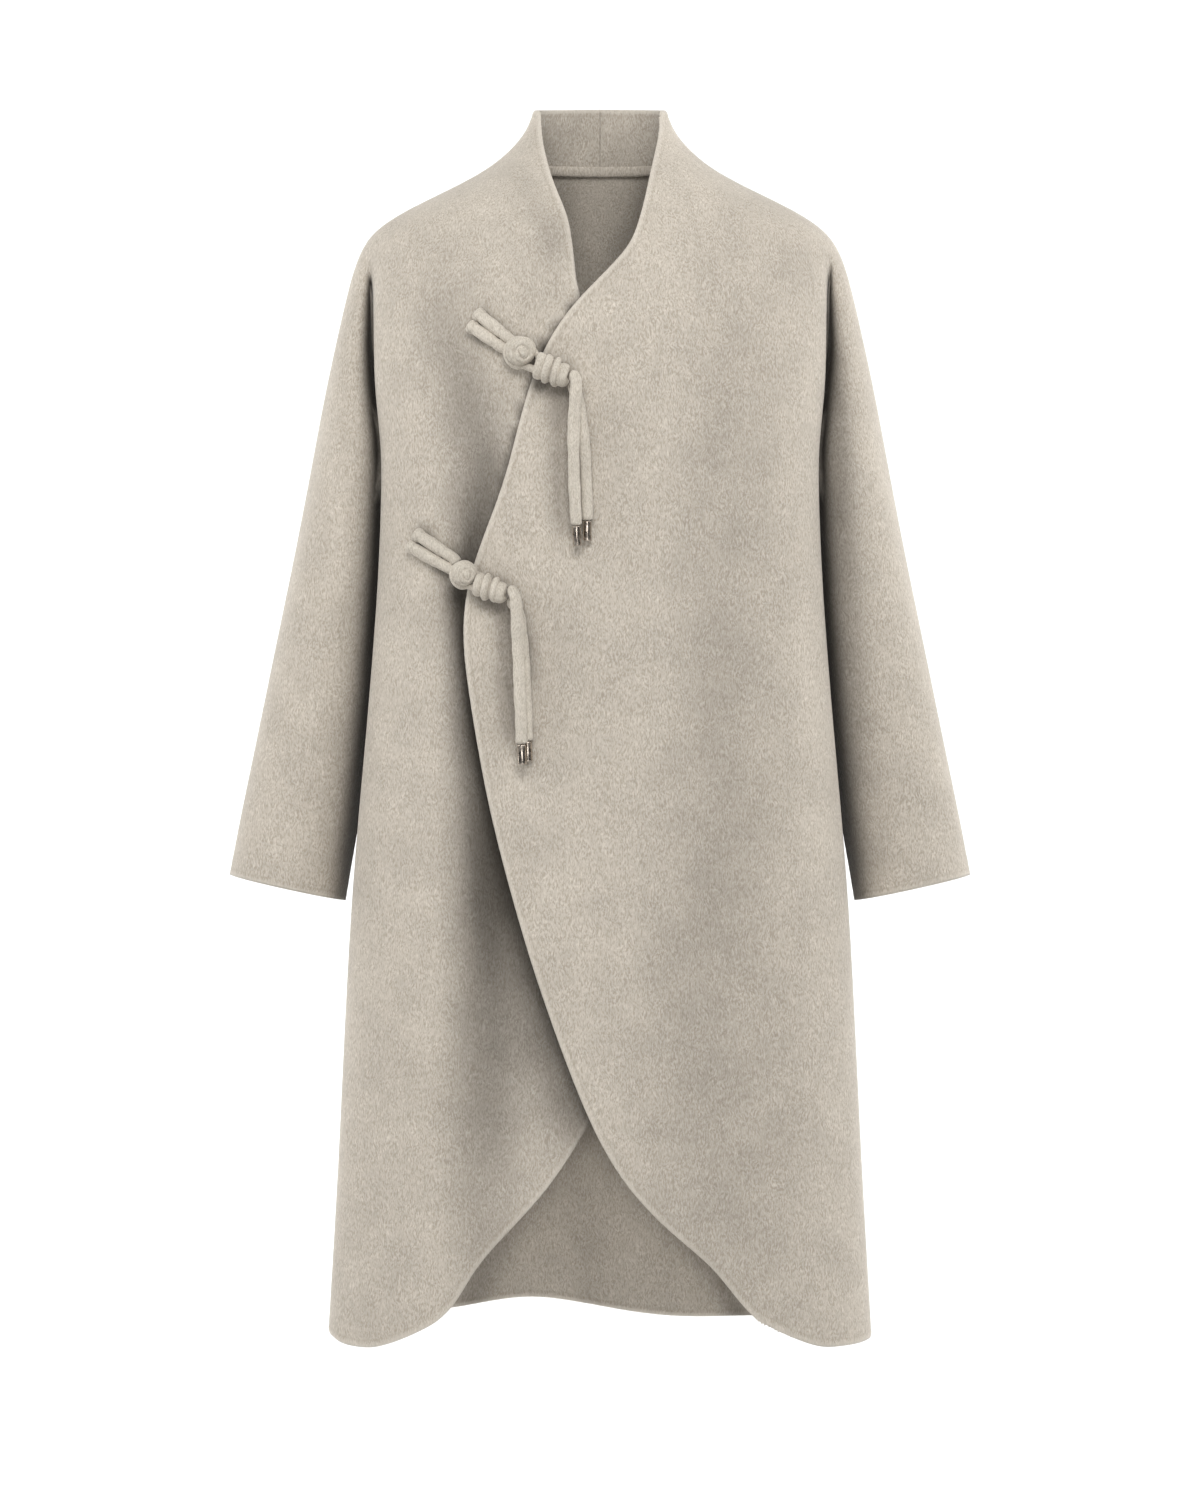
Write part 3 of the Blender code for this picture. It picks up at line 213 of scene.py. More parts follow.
# painted shade on the inner side of the cloth, in the same rows: in the collar, and on the back at
# hem and neck
PAINTED_HOLLOW_SHADES = {
    "front_left": [
        [(0.000, 0.040, 0.030, 0.16), (0.055, 0.034, 0.028, 0.20)],
    ],
    "front_right": [
        [(0.000, 0.040, 0.030, 0.16), (-0.055, 0.034, 0.028, 0.26)],
    ],
    "back": [
        # at the hem, beside both fronts and in the middle
        [(-0.013, -0.859, 0.026, 0.46), (-0.038, -0.910, 0.021, 0.34), (-0.067, -0.952, 0.019, 0.32),
         (-0.095, -0.989, 0.019, 0.34), (-0.121, -1.040, 0.018, 0.40)],
        [(-0.003, -0.873, 0.022, 0.40), (0.037, -0.943, 0.013, 0.24), (0.113, -1.022, 0.014, 0.44),
         (0.131, -1.059, 0.016, 0.56)],
        [(-0.010, -0.929, 0.014, 0.08), (-0.009, -0.985, 0.014, 0.18), (-0.008, -1.049, 0.013, 0.14)],
        # at the neck, beside both fronts
        [(0.048, 0.003, 0.010, 0.20), (0.037, -0.043, 0.013, 0.30), (-0.010, -0.113, 0.011, 0.16)],
        [(-0.041, -0.006, 0.009, 0.08), (-0.028, -0.057, 0.010, 0.12), (-0.023, -0.108, 0.009, 0.08)],
    ],
}

# ---------------------------------------------------------------- facts of the ties (metres)

TOUCH = 0.0003            # gap left between pieces that touch

TAIL_RADIUS = 0.0052
TAIL_SWELL = 1.04         # fullness of the soft cord against that radius
TAIL_STEP = 0.0016        # spacing of the rings along it
TAIL_WAVES = ((0.035, 310.0), (0.030, 127.0))     # uneven girth: share, radians in a metre
TAIL_ENDS = (0.0046, 0.0020)                      # rounded lengths at the roll and at the tip
TAIL_NECK = (0.90, 0.022)                         # girth at the roll, and length to full girth
FURROW_DEPTH, FURROW_WIDTH = 0.10, 0.22           # where its cloth is joined: share, radians
FURROW_START, FURROW_TWIST = 0.9, 7.0             # radians, and radians in a metre
TAIL_OVAL, OVAL_TWIST = 0.05, 16.0                # flattened by this share, as it twists

LEG_RADIUS = 0.0050
LEG_SWELL = 1.14
LEG_STEP = 0.0009
LEG_LIFT = 0.90           # height of its middle above the cloth, as a share of its radius
LEG_CUT = 2               # steps of its route taken up by its turned-in cap
LEG_TUCK = 0.0044         # how far its other end runs on beneath the knot
LEG_WAVES = ((0.03, 420.0),)
LEG_OVAL, LEG_OVAL_TURN = 0.04, 0.6
LEG_END = (0.55, 0.0016)  # girth of the blunt free end, and length to full girth
CAP_SWELL = 0.10          # the cap is fuller than the rest by this share
CAP_RISE, CAP_FALL = (0.0004, 0.0012), (0.0058, 0.0016)       # start and length of each
CAP_FOLD = (0.08, 0.0074, 0.0009)                 # groove behind it: depth, place and width
LEG_PINCH = (0.11, 0.60, 0.12)                    # thinner at the knot: depth, start and length
LEG_DENT = (0.05, 0.72, 0.035)                    # dent there: depth, place and width

# ball knot, in shares of its radius and in degrees
BALL_POLE = Vector((0.30, -0.93, -0.17)).normalized()         # where its winding ends
BALL_CORD = 0.215         # radius of the wound cord
BALL_TURNS, BALL_STEPS = 3.0, 170
BALL_START = 200.0        # where the winding starts round the pole
BALL_POLAR, BALL_SPAN = 110.0, 79.0   # its start away from the pole, and how far it climbs
BALL_WAVES = ((0.04, 240.0),)
BALL_CLIMB = 0.94         # below 1, it climbs faster at first
BALL_SINK = 0.98          # share of the cord's radius that lies inside the ball's
FULL_SIDE, FULL_SHARE = 55.0, 0.55    # the side on which the winding is fuller, and by how much
FULL_FADE = 0.6           # share of that fullness lost by its end
BALL_TAPER, BALL_END = 1.4, 0.35      # length of its last end in cord radii, and least girth
BALL_CORE, BALL_LENS = 0.84, 0.34     # radii of the core and of the lens at the pole
LENS_OUT = 0.70           # how far out the lens sits
LENS_WIDE, LENS_TALL, LENS_LEAN = 0.92, 1.16, 0.25
BALL_FLAT = 0.88          # depth against width

LOOP_RADIUS = 0.0025
LOOP_STEP = 0.0010
LOOP_SHIFT = Vector((-0.0006, 0.0048, -0.0006))   # its middle against the ball's
LOOP_HUG = 0.92           # distance of the loop from its middle, as a share of the ball's radius
LOOP_SLANT = 0.0010       # its top lies this much further back
LOOP_ENTRY = 0.0048       # distance of its lower end from the roll's axis
LOOP_ENTRY_TOP = 0.8      # the same for its upper end, as a share of that
LOOP_DEPTH = 0.0030       # how far both run into the roll
LOOP_TURNS = range(40, 311, 30)       # degrees round the ball
LOOP_WAVES = ((0.05, 390.0),)
LOOP_OVAL = 0.04
LOOP_FULL = (0.28, 0.55, 0.3)         # fuller towards its end: share, start and length
LOOP_END = 0.001          # rounded length of both ends
KNOT_SIDES = 14           # faces round the thin cords of ball and loop

WRAPS = 4
WRAP_STEPS = 52           # steps in a wrap
WRAP_WIDE, WRAP_THICK = 1.60, 0.90    # half sizes of its oval, as shares of half its pitch
WRAP_TAPER = 0.13         # the last wrap is thinner than the first by this share
WRAP_NECK = (0.90, 0.14)  # girth at the roll's start, and share of its length to full girth
WRAP_LUMPS, WRAP_LUMP = 2.0, 0.018    # number and height of lumps along the roll
WRAP_TUCK, WRAP_END = (0.5, 9.0), 0.4 # how the ends tuck in, and their least girth
WRAP_SEED, WRAP_SEED_STEP = 0.7, 1.9  # shifts the lumps, from one roll to the next
WRAP_FIRST, WRAP_SPAN = 0.06, 0.88    # where the wraps start, and how far they run, of its length
ROLL_WAVES = ((0.03, 190.0),)
ROLL_CORE = (0.74, 0.64, 0.94)        # radii of the core at its ends, and length, as shares
ROLL_SIDES = 20

TIP_LENGTH = 0.0170
TIP_RADIUS = 0.0038
TIP_SIDES = 36
TIP_DOUBLES = 0.000005    # points of the turned tip nearer than this are one
# half section of a tip from its top: distance from the axis and way down, as shares
TIP_OUTLINE = [
    (0.0, 0.0), (0.72, 0.0), (0.93, 0.012), (1.0, 0.04), (1.0, 0.075), (0.965, 0.10),
    (0.965, 0.86), (0.985, 0.90), (1.0, 0.93), (1.0, 0.965), (0.93, 0.992), (0.80, 1.0),
    (0.70, 0.985), (0.66, 0.93), (0.0, 0.93)]

# legs as (x, z) from their free ends to the knot; tails as full points from the roll to their ends
TIES = {
    "tie_1": {
        "leg_upper": [(-0.1078, -0.1472), (-0.0895, -0.1629), (-0.0781, -0.1725)],
        "leg_lower": [(-0.1135, -0.1577), (-0.0965, -0.1703), (-0.0847, -0.1791)],
        "ball": (-0.0673, -0.1362, -0.1833), "ball_radius": 0.0114,
        "ball_shift": (-0.0020, -0.0006, -0.0002), "ball_swell": 1.16,
        "wrap_start": (-0.0552, -0.1414, -0.1950), "wrap_end": (-0.0287, -0.1440, -0.2063),
        "wrap_radius": 0.0116,
        "tail_front": [(-0.0258, -0.1481, -0.2038), (-0.0242, -0.1490, -0.2042),
                       (-0.0214, -0.1497, -0.2078), (-0.0206, -0.1499, -0.2145),
                       (-0.0213, -0.1496, -0.2240), (-0.0224, -0.1487, -0.2400),
                       (-0.0229, -0.1475, -0.2600), (-0.0228, -0.1466, -0.2800),
                       (-0.0223, -0.1460, -0.3000), (-0.0213, -0.1457, -0.3200),
                       (-0.0205, -0.1455, -0.3356)],
        "tail_back": [(-0.0262, -0.1395, -0.2113), (-0.0232, -0.1388, -0.2150),
                      (-0.0203, -0.1385, -0.2215), (-0.0185, -0.1387, -0.2310),
                      (-0.0160, -0.1393, -0.2450), (-0.0142, -0.1402, -0.2600),
                      (-0.0128, -0.1405, -0.2800), (-0.0119, -0.1405, -0.3000),
                      (-0.0113, -0.1403, -0.3180), (-0.0112, -0.1400, -0.3310)],
    },
    "tie_2": {
        "leg_upper": [(-0.1612, -0.3390), (-0.1472, -0.3487), (-0.1353, -0.3570),
                      (-0.1275, -0.3622)],
        "leg_lower": [(-0.1664, -0.3491), (-0.1515, -0.3592), (-0.1397, -0.3662),
                      (-0.1318, -0.3706)],
        "ball": (-0.1175, -0.1345, -0.3764), "ball_radius": 0.0104,
        "ball_shift": (-0.0006, -0.0006, -0.0003), "ball_swell": 1.06,
        "wrap_start": (-0.1079, -0.1336, -0.3843), "wrap_end": (-0.0827, -0.1384, -0.3947),
        "wrap_radius": 0.0104,
        "tail_front": [(-0.0799, -0.1421, -0.3905), (-0.0768, -0.1434, -0.3914),
                       (-0.0740, -0.1444, -0.3955), (-0.0727, -0.1450, -0.4030),
                       (-0.0721, -0.1454, -0.4150), (-0.0714, -0.1453, -0.4300),
                       (-0.0707, -0.1450, -0.4480), (-0.0700, -0.1447, -0.4680),
                       (-0.0692, -0.1444, -0.4900), (-0.0685, -0.1441, -0.5100),
                       (-0.0680, -0.1440, -0.5252)],
        "tail_back": [(-0.0801, -0.1345, -0.3991), (-0.0762, -0.1343, -0.4020),
                      (-0.0725, -0.1343, -0.4075), (-0.0702, -0.1345, -0.4150),
                      (-0.0684, -0.1347, -0.4280), (-0.0668, -0.1346, -0.4450),
                      (-0.0654, -0.1343, -0.4650), (-0.0644, -0.1341, -0.4880),
                      (-0.0637, -0.1341, -0.5080), (-0.0631, -0.1342, -0.5225)],
    },
}


# ---------------------------------------------------------------- sizes and colours a user may change

class CoatClothSettings(bpy.types.PropertyGroup):
    """Sizes and colours of the wool cloth."""

    divisions: IntProperty(
        name="Divisions", description="How often the net of the cut pieces is halved",
        default=2, min=2, max=3)
    crease_share: FloatProperty(
        name="Creases", description="Depth of the soft creases as a share of the hand-set one",
        default=1.0, min=0.0, max=2.0, subtype="FACTOR")
    wool: FloatVectorProperty(
        name="Wool", description="Main colour of the brushed wool",
        default=(0.500, 0.453, 0.390), size=3, min=0.0, max=1.0, subtype="COLOR")
    wool_light: FloatVectorProperty(
        name="Light fibres", description="Colour of the pale fibres",
        default=(0.610, 0.562, 0.490), size=3, min=0.0, max=1.0, subtype="COLOR")
    wool_dark: FloatVectorProperty(
        name="Dark fibres", description="Colour of the darker fibres",
        default=(0.370, 0.325, 0.265), size=3, min=0.0, max=1.0, subtype="COLOR")
    nap_depth: FloatProperty(
        name="Nap depth", description="Height of the brushed fibres",
        default=0.0009, min=0.0, max=0.005, subtype="DISTANCE", unit="LENGTH")
    sheen: FloatProperty(
        name="Fuzz", description="Strength of the light caught by the fibre ends",
        default=0.35, min=0.0, max=1.0, subtype="FACTOR")


class CoatTieSettings(bpy.types.PropertyGroup):
    """Sizes and colours of the cords and their metal tips."""

    sides: IntProperty(
        name="Sides", description="Faces round a cord", default=20, min=8, max=48)
    cord: FloatVectorProperty(
        name="Cord", description="Main colour of the wool cords",
        default=(0.540, 0.496, 0.426), size=3, min=0.0, max=1.0, subtype="COLOR")
    metal: FloatVectorProperty(
        name="Metal", description="Colour of the gun-metal tips",
        default=(0.400, 0.350, 0.300), size=3, min=0.0, max=1.0, subtype="COLOR")


class CoatStageSettings(bpy.types.PropertyGroup):
    """Camera distance and the studio around the coat."""

    camera_distance: FloatProperty(
        name="Camera distance", description="Distance of the camera from the coat's middle",
        default=4.0, min=1.0, max=20.0, subtype="DISTANCE", unit="LENGTH")
    camera_height: FloatProperty(
        name="Camera height", description="Level of the camera below the nape",
        default=-0.53, min=-2.0, max=2.0, subtype="DISTANCE", unit="LENGTH")
    camera_lens: FloatProperty(
        name="Lens", description="Focal length in millimetres",
        default=106.67, min=20.0, max=300.0)
    floor_level: FloatProperty(
        name="Floor", description="Level of the studio floor",
        default=-1.80, min=-5.0, max=0.0, subtype="DISTANCE", unit="LENGTH")
    sweep: FloatVectorProperty(
        name="Sweep", description="Colour of the floor and the backdrop",
        default=(0.90, 0.90, 0.90), size=3, min=0.0, max=1.0, subtype="COLOR")


# ---------------------------------------------------------------- materials

# brushed strands: lean in degrees, and how fine they are across and along
STRAND_LAYS = ((0.0, 860.0, 290.0), (34.0, 830.0, 300.0), (-29.0, 880.0, 280.0))
STRAND_SWIRL = (0.008, 0.008, 0.008)  # how far the strands are pushed about
# painted highlight on the rolled free edge and painted shade in the groove beside it, by the distance
# in: from where to where each mask rises
EDGE_HIGHLIGHT, EDGE_HIGHLIGHT_SHARE = (0.0050, 0.0015), 0.55
GROOVE_NEAR, GROOVE_FAR, GROOVE_SHADE_SHARE = (0.0046, 0.0060), (0.0076, 0.0062), 0.30
CLOTH_CONTRAST = 0.92     # how far the strands differ in colour, of 1
CORD_CONTRAST = 0.72
CORD_NAP = 0.0008
CORD_SCALE = 1.2          # the cord's wool is finer than the cloth's by this much
CORD_LIFT = 1.03          # its pale fibres are a little lighter
DRAWN_LINES = (2600.0, 2600.0, 90.0)  # how fine the metal's lines are along each axis
METAL_LIFT = 1.5          # brighter smudges on the metal
SWEEP_DIP = 0.985         # darker mottling of the studio paper


def new_group(name, inputs, outputs):
    """Empty shader node group with named sockets, and its two end nodes."""
    group = bpy.data.node_groups.new(name, "ShaderNodeTree")
    for label, kind, value in inputs:
        socket = group.interface.new_socket(label, in_out="INPUT", socket_type=kind)
        if value is not None:
            socket.default_value = value
    for label, kind in outputs:
        group.interface.new_socket(label, in_out="OUTPUT", socket_type=kind)
    return group, group.nodes.new("NodeGroupInput"), group.nodes.new("NodeGroupOutput")


def noise(tree, vector, scale, detail=2.0, roughness=0.5, distortion=0.0):
    """Noise node read at a vector socket."""
    node = tree.nodes.new("ShaderNodeTexNoise")
    node.inputs["Scale"].default_value = scale
    node.inputs["Detail"].default_value = detail
    node.inputs["Roughness"].default_value = roughness
    node.inputs["Distortion"].default_value = distortion
    tree.links.new(vector, node.inputs["Vector"])
    return node.outputs["Fac"]


def turned(tree, vector, rotation, scale):
    """Vector turned and stretched by a Mapping node."""
    node = tree.nodes.new("ShaderNodeMapping")
    node.inputs["Rotation"].default_value = rotation
    node.inputs["Scale"].default_value = scale
    tree.links.new(vector, node.inputs["Vector"])
    return node.outputs["Vector"]


def attribute(tree, name):
    """Value that a mesh stores at its points under a name."""
    node = tree.nodes.new("ShaderNodeAttribute")
    node.attribute_name = name
    return node.outputs["Fac"]


def maths(tree, kind, *values):
    """Math node between sockets or plain numbers."""
    node = tree.nodes.new("ShaderNodeMath")
    node.operation = kind
    for slot, value in enumerate(values):
        if isinstance(value, bpy.types.NodeSocket):
            tree.links.new(value, node.inputs[slot])
        else:
            node.inputs[slot].default_value = value
    return node.outputs[0]


def ramp(tree, factor, low, high, start=0.0, end=1.0):
    """Smooth map of a value from one range to another, held at its ends."""
    node = tree.nodes.new("ShaderNodeMapRange")
    node.interpolation_type = "SMOOTHSTEP"
    node.inputs["From Min"].default_value = low
    node.inputs["From Max"].default_value = high
    node.inputs["To Min"].default_value = start
    node.inputs["To Max"].default_value = end
    tree.links.new(factor, node.inputs["Value"])
    return node.outputs["Result"]


def mixed(tree, factor, first, second):
    """Mix of two values."""
    node = tree.nodes.new("ShaderNodeMix")
    sockets = [socket for socket in node.inputs if socket.type == "VALUE"]
    for value, socket in zip((factor, first, second), sockets):
        tree.links.new(value, socket)
    return node.outputs[0]


def blended(tree, factor, first, second):
    """Mix of two colours, each a socket or a plain colour."""
    node = tree.nodes.new("ShaderNodeMix")
    node.data_type = "RGBA"
    sockets = [socket for socket in node.inputs if socket.type == "RGBA"]
    tree.links.new(factor, node.inputs[0])
    for socket, value in zip(sockets, (first, second)):
        if isinstance(value, bpy.types.NodeSocket):
            tree.links.new(value, socket)
        else:
            socket.default_value = (*value, 1.0)
    return next(socket for socket in node.outputs if socket.type == "RGBA")


def brushed_wool_group():
    """Brushed wool: swirling strands of pale and darker fibre, soft clouds and a fine fuzz."""
    group, start, end = new_group(
        "brushed_wool",
        [("Vector", "NodeSocketVector", None), ("Wool", "NodeSocketColor", None),
         ("Light", "NodeSocketColor", None), ("Dark", "NodeSocketColor", None),
         ("Contrast", "NodeSocketFloat", 0.8)],
        [("Colour", "NodeSocketColor"), ("Height", "NodeSocketFloat")])
    vector = start.outputs["Vector"]
    bend = group.nodes.new("ShaderNodeTexNoise")
    bend.inputs["Scale"].default_value = 55.0
    bend.inputs["Detail"].default_value = 1.0
    group.links.new(vector, bend.inputs["Vector"])
    push = group.nodes.new("ShaderNodeVectorMath")
    push.operation = "MULTIPLY_ADD"
    push.inputs[1].default_value = STRAND_SWIRL
    group.links.new(bend.outputs["Color"], push.inputs[0])
    group.links.new(vector, push.inputs[2])
    swirled = push.outputs[0]
    lying, left, right = (
        noise(group, turned(group, swirled, (0.0, math.radians(lean), 0.0),
                            (across, across, along)), 1.0, roughness=0.6)
        for lean, across, along in STRAND_LAYS)
    where = noise(group, vector, 42.0, detail=1.0)
    beside = noise(group, vector, 36.0, detail=1.0, distortion=0.4)
    strands = mixed(group, ramp(group, where, 0.42, 0.60), lying, left)
    strands = mixed(group, ramp(group, beside, 0.47, 0.64), strands, right)
    fuzz = noise(group, vector, 620.0, roughness=0.6)
    clumps = noise(group, swirled, 210.0, roughness=0.6)
    clouds = noise(group, vector, 24.0, detail=3.0, roughness=0.55)
    shade = blended(group, ramp(group, strands, 0.36, 0.56), start.outputs["Dark"],
                    start.outputs["Wool"])
    shade = blended(group, ramp(group, strands, 0.53, 0.72), shade, start.outputs["Light"])
    shade = blended(group, start.outputs["Contrast"], start.outputs["Wool"], shade)
    tone = group.nodes.new("ShaderNodeHueSaturation")
    level = maths(group, "ADD", ramp(group, clouds, 0.3, 0.7, 0.945, 1.055),
                  ramp(group, clumps, 0.3, 0.7, -0.035, 0.035))
    group.links.new(level, tone.inputs["Value"])
    group.links.new(shade, tone.inputs["Color"])
    group.links.new(tone.outputs["Color"], end.inputs["Colour"])
    height = maths(group, "MULTIPLY_ADD", strands, 0.75, maths(group, "MULTIPLY", fuzz, 0.20))
    group.links.new(maths(group, "MULTIPLY_ADD", clumps, 0.45, height), end.inputs["Height"])
    return group


def wool_material(name, wool, light, dark, nap_depth, sheen, contrast, scale=1.0, edges=False):
    """Brushed wool finish; with edges, it also reads the cloth's free edges, openness and fold shade,
    from which it paints a highlight on the rolled edge, shade in its groove, and shade in closed-in
    places and folds.
    """
    material = bpy.data.materials.new(name)
    material.use_nodes = True
    tree = material.node_tree
    shader = tree.nodes["Principled BSDF"]
    group = tree.nodes.new("ShaderNodeGroup")
    group.node_tree = bpy.data.node_groups.get("brushed_wool") or brushed_wool_group()
    place = tree.nodes.new("ShaderNodeTexCoord")
    tree.links.new(turned(tree, place.outputs["Object"], (0.0, 0.0, 0.0), (scale, scale, scale)),
                   group.inputs["Vector"])
    for label, colour in (("Wool", wool), ("Light", light), ("Dark", dark)):
        group.inputs[label].default_value = (*colour, 1.0)
    group.inputs["Contrast"].default_value = contrast
    colour = group.outputs["Colour"]
    if edges:
        # painted highlight on the rolled free edge, and painted shade in the groove beside it
        reach = attribute(tree, "edge_reach")
        band = ramp(tree, reach, *EDGE_HIGHLIGHT)
        groove = maths(tree, "MULTIPLY", ramp(tree, reach, *GROOVE_NEAR),
                       ramp(tree, reach, *GROOVE_FAR))
        colour = blended(tree, maths(tree, "MULTIPLY", band, EDGE_HIGHLIGHT_SHARE), colour, light)
        colour = blended(tree, maths(tree, "MULTIPLY", groove, GROOVE_SHADE_SHARE), colour, dark)
        # painted shade: darker where other cloth or the cords close the cloth in, and along the fold
        # rows
        closed = ramp(tree, attribute(tree, "openness"), CLEAR_OPENNESS, DEEP_OPENNESS)
        colour = blended(tree, closed, colour, PAINTED_SHADE_WOOL)
        colour = blended(tree, attribute(tree, "painted_fold_shade"), colour, PAINTED_SHADE_WOOL)
    tree.links.new(colour, shader.inputs["Base Color"])
    bump = tree.nodes.new("ShaderNodeBump")
    bump.inputs["Distance"].default_value = nap_depth
    bump.inputs["Strength"].default_value = 0.8
    tree.links.new(group.outputs["Height"], bump.inputs["Height"])
    tree.links.new(bump.outputs["Normal"], shader.inputs["Normal"])
    shader.inputs["Roughness"].default_value = 0.94
    shader.inputs["Specular IOR Level"].default_value = 0.18
    shader.inputs["Sheen Weight"].default_value = sheen
    shader.inputs["Sheen Roughness"].default_value = 0.42
    shader.inputs["Sheen Tint"].default_value = (0.96, 0.92, 0.86, 1.0)
    return material


def metal_material(name, colour):
    """Polished gun-metal with faint drawn lines along the tip."""
    material = bpy.data.materials.new(name)
    material.use_nodes = True
    tree = material.node_tree
    shader = tree.nodes["Principled BSDF"]
    place = tree.nodes.new("ShaderNodeTexCoord")
    lines = noise(tree, turned(tree, place.outputs["Object"], (0.0, 0.0, 0.0),
                               DRAWN_LINES), 1.0)
    smudge = noise(tree, place.outputs["Object"], 260.0)
    rough = maths(tree, "ADD", ramp(tree, lines, 0.3, 0.7, 0.20, 0.30),
                  ramp(tree, smudge, 0.4, 0.7, 0.0, 0.06))
    tree.links.new(rough, shader.inputs["Roughness"])
    bright = tuple(METAL_LIFT * part for part in colour)
    tree.links.new(blended(tree, ramp(tree, smudge, 0.35, 0.65), colour, bright),
                   shader.inputs["Base Color"])
    shader.inputs["Metallic"].default_value = 1.0
    return material


FINISH_NAMES = {
    "wool_cloth": "brushed_cloth",
    "wool_cord": "brushed_cord",
    "gunmetal": "polished_tips",
}


def finish_of(slot):
    """The finish of a material slot, made once."""
    name = FINISH_NAMES[slot]
    made = bpy.data.materials.get(name)
    if made:
        return made
    cloth, ties = bpy.context.scene.coat_cloth, bpy.context.scene.coat_ties
    if slot == "wool_cloth":
        return wool_material(name, cloth.wool, cloth.wool_light, cloth.wool_dark,
                             cloth.nap_depth, cloth.sheen, CLOTH_CONTRAST, edges=True)
    if slot == "wool_cord":
        light = tuple(part * CORD_LIFT for part in cloth.wool_light)
        return wool_material(name, ties.cord, light, cloth.wool_dark,
                             CORD_NAP, cloth.sheen, CORD_CONTRAST, scale=CORD_SCALE)
    return metal_material(name, tuple(ties.metal))


# ---------------------------------------------------------------- shared making

def data_of(name, mesh):
    """Mesh data made from a bmesh, which is freed."""
    data = bpy.data.meshes.new(name)
    mesh.to_mesh(data)
    mesh.free()
    return data


def finished(name, mesh, finish, node):
    """Put a made mesh in the scene as the piece that stands for a node of the frame."""
    bmesh.ops.remove_doubles(mesh, verts=mesh.verts, dist=DOUBLES)
    return placed(name, data_of(name, mesh), finish, node)


def placed(name, data, finish, node):
    """Give a mesh its object, its finish and its place on the frame."""
    data.shade_smooth()
    data.materials.clear()
    data.materials.append(finish_of(finish))
    piece = bpy.data.objects.new(name, data)
    bpy.context.scene.collection.objects.link(piece)
    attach(piece, BODY)
    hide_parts(node)
    return piece


def store(data, label, values):
    """Keep a value at each point of a mesh under a name."""
    data.attributes.new(label, "FLOAT", "POINT").data.foreach_set("value", values)


def evaluated(data, set_up):
    """Mesh with modifiers worked in: set_up adds them to a passing object."""
    draft = bpy.data.objects.new("draft", data)
    bpy.context.scene.collection.objects.link(draft)
    set_up(draft)
    bpy.context.view_layer.update()
    ready = draft.evaluated_get(bpy.context.evaluated_depsgraph_get())
    made = bpy.data.meshes.new_from_object(ready)
    bpy.data.objects.remove(draft, do_unlink=True)
    return made


def held(value):
    """A value kept between 0 and 1."""
    return min(1.0, max(0.0, value))


def ease(value):
    """Smooth step from 0 to 1."""
    value = held(value)
    return value * value * (3.0 - 2.0 * value)


def near(value, middle, width):
    """1 at a middle, dying away at a width from it."""
    return math.exp(-((value - middle) / width) ** 2)


def neck(value, thin, length):
    """Girth that grows from thin to 1 over a length."""
    return thin + (1.0 - thin) * ease(value / length)


def oval(angle, share, turn=0.0):
    """What a flattened cord gains or loses round its section."""
    return share * math.cos(2.0 * angle + turn)


def uneven(distance, waves, seed=0.0):
    """Uneven girth along a cord: each wave is a share and its radians in a metre."""
    return 1.0 + sum(share * math.sin(distance * pace + seed) for share, pace in waves)


# ---------------------------------------------------------------- cloth

def sheets_of(mesh):
    """Groups of faces that hang together."""
    left = set(mesh.faces)
    groups = []
    while left:
        front = [left.pop()]
        group = list(front)
        while front:
            beside = {other for face in front for edge in face.edges for other in edge.link_faces}
            front = list(beside & left)
            left -= beside
            group += front
        groups.append(group)
    return groups


def outwardness(faces):
    """Positive where most of a sheet faces away from the coat's middle line."""
    level = Vector((1.0, 1.0, 0.0))
    return sum(face.calc_area() * face.normal.dot(face.calc_center_median() * level)
               for face in faces)


def crosses_wall(edge):
    """Whether an edge runs through the wall, from the outer face to the inner one."""
    start, end = edge.verts
    way = (end.co - start.co).normalized()
    return (abs(edge.calc_length() - CLOTH) < MERGE
            and min(abs(way.dot(start.normal)), abs(way.dot(end.normal))) > WALL_LEAN)


def merged_solid(node):
    """Copy of a solid of the frame, its loose triangles merged."""
    mesh = bmesh.new()
    mesh.from_mesh(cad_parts[node].data)
    bmesh.ops.remove_doubles(mesh, verts=mesh.verts, dist=MERGE)
    return mesh


def join_cells(mesh):
    """Join the triangles of a net to four-sided cells."""
    turn = math.radians(CELL_ANGLE)
    bmesh.ops.join_triangles(mesh, faces=mesh.faces, angle_face_threshold=turn,
                             angle_shape_threshold=turn)


def outer_net(node):
    """The outer face of a cut piece as an open net of four-sided cells."""
    mesh = merged_solid(node)
    mesh.normal_update()
    rim = {face for edge in mesh.edges if crosses_wall(edge) for face in edge.link_faces}
    bmesh.ops.delete(mesh, geom=list(rim), context="FACES")
    inner = [face for sheet in sheets_of(mesh) if outwardness(sheet) < 0.0 for face in sheet]
    bmesh.ops.delete(mesh, geom=inner, context="FACES")
    join_cells(mesh)
    return mesh


def divided(mesh, levels):
    """The net, smoothed and divided."""

    def set_up(draft):
        smooth = draft.modifiers.new("Smooth", "SUBSURF")
        smooth.levels = smooth.render_levels = levels
        smooth.boundary_smooth = "PRESERVE_CORNERS"

    fine = bmesh.new()
    fine.from_mesh(evaluated(data_of("net", mesh), set_up))
    return fine


def tree_of(points):
    """Search tree over points."""
    tree = KDTree(len(points))
    for index, point in enumerate(points):
        tree.insert(point, index)
    tree.balance()
    return tree


def reach_from(points):
    """Function that tells how far a place is from the nearest of the points."""
    tree = tree_of(points)
    return lambda place: tree.find(place)[2]


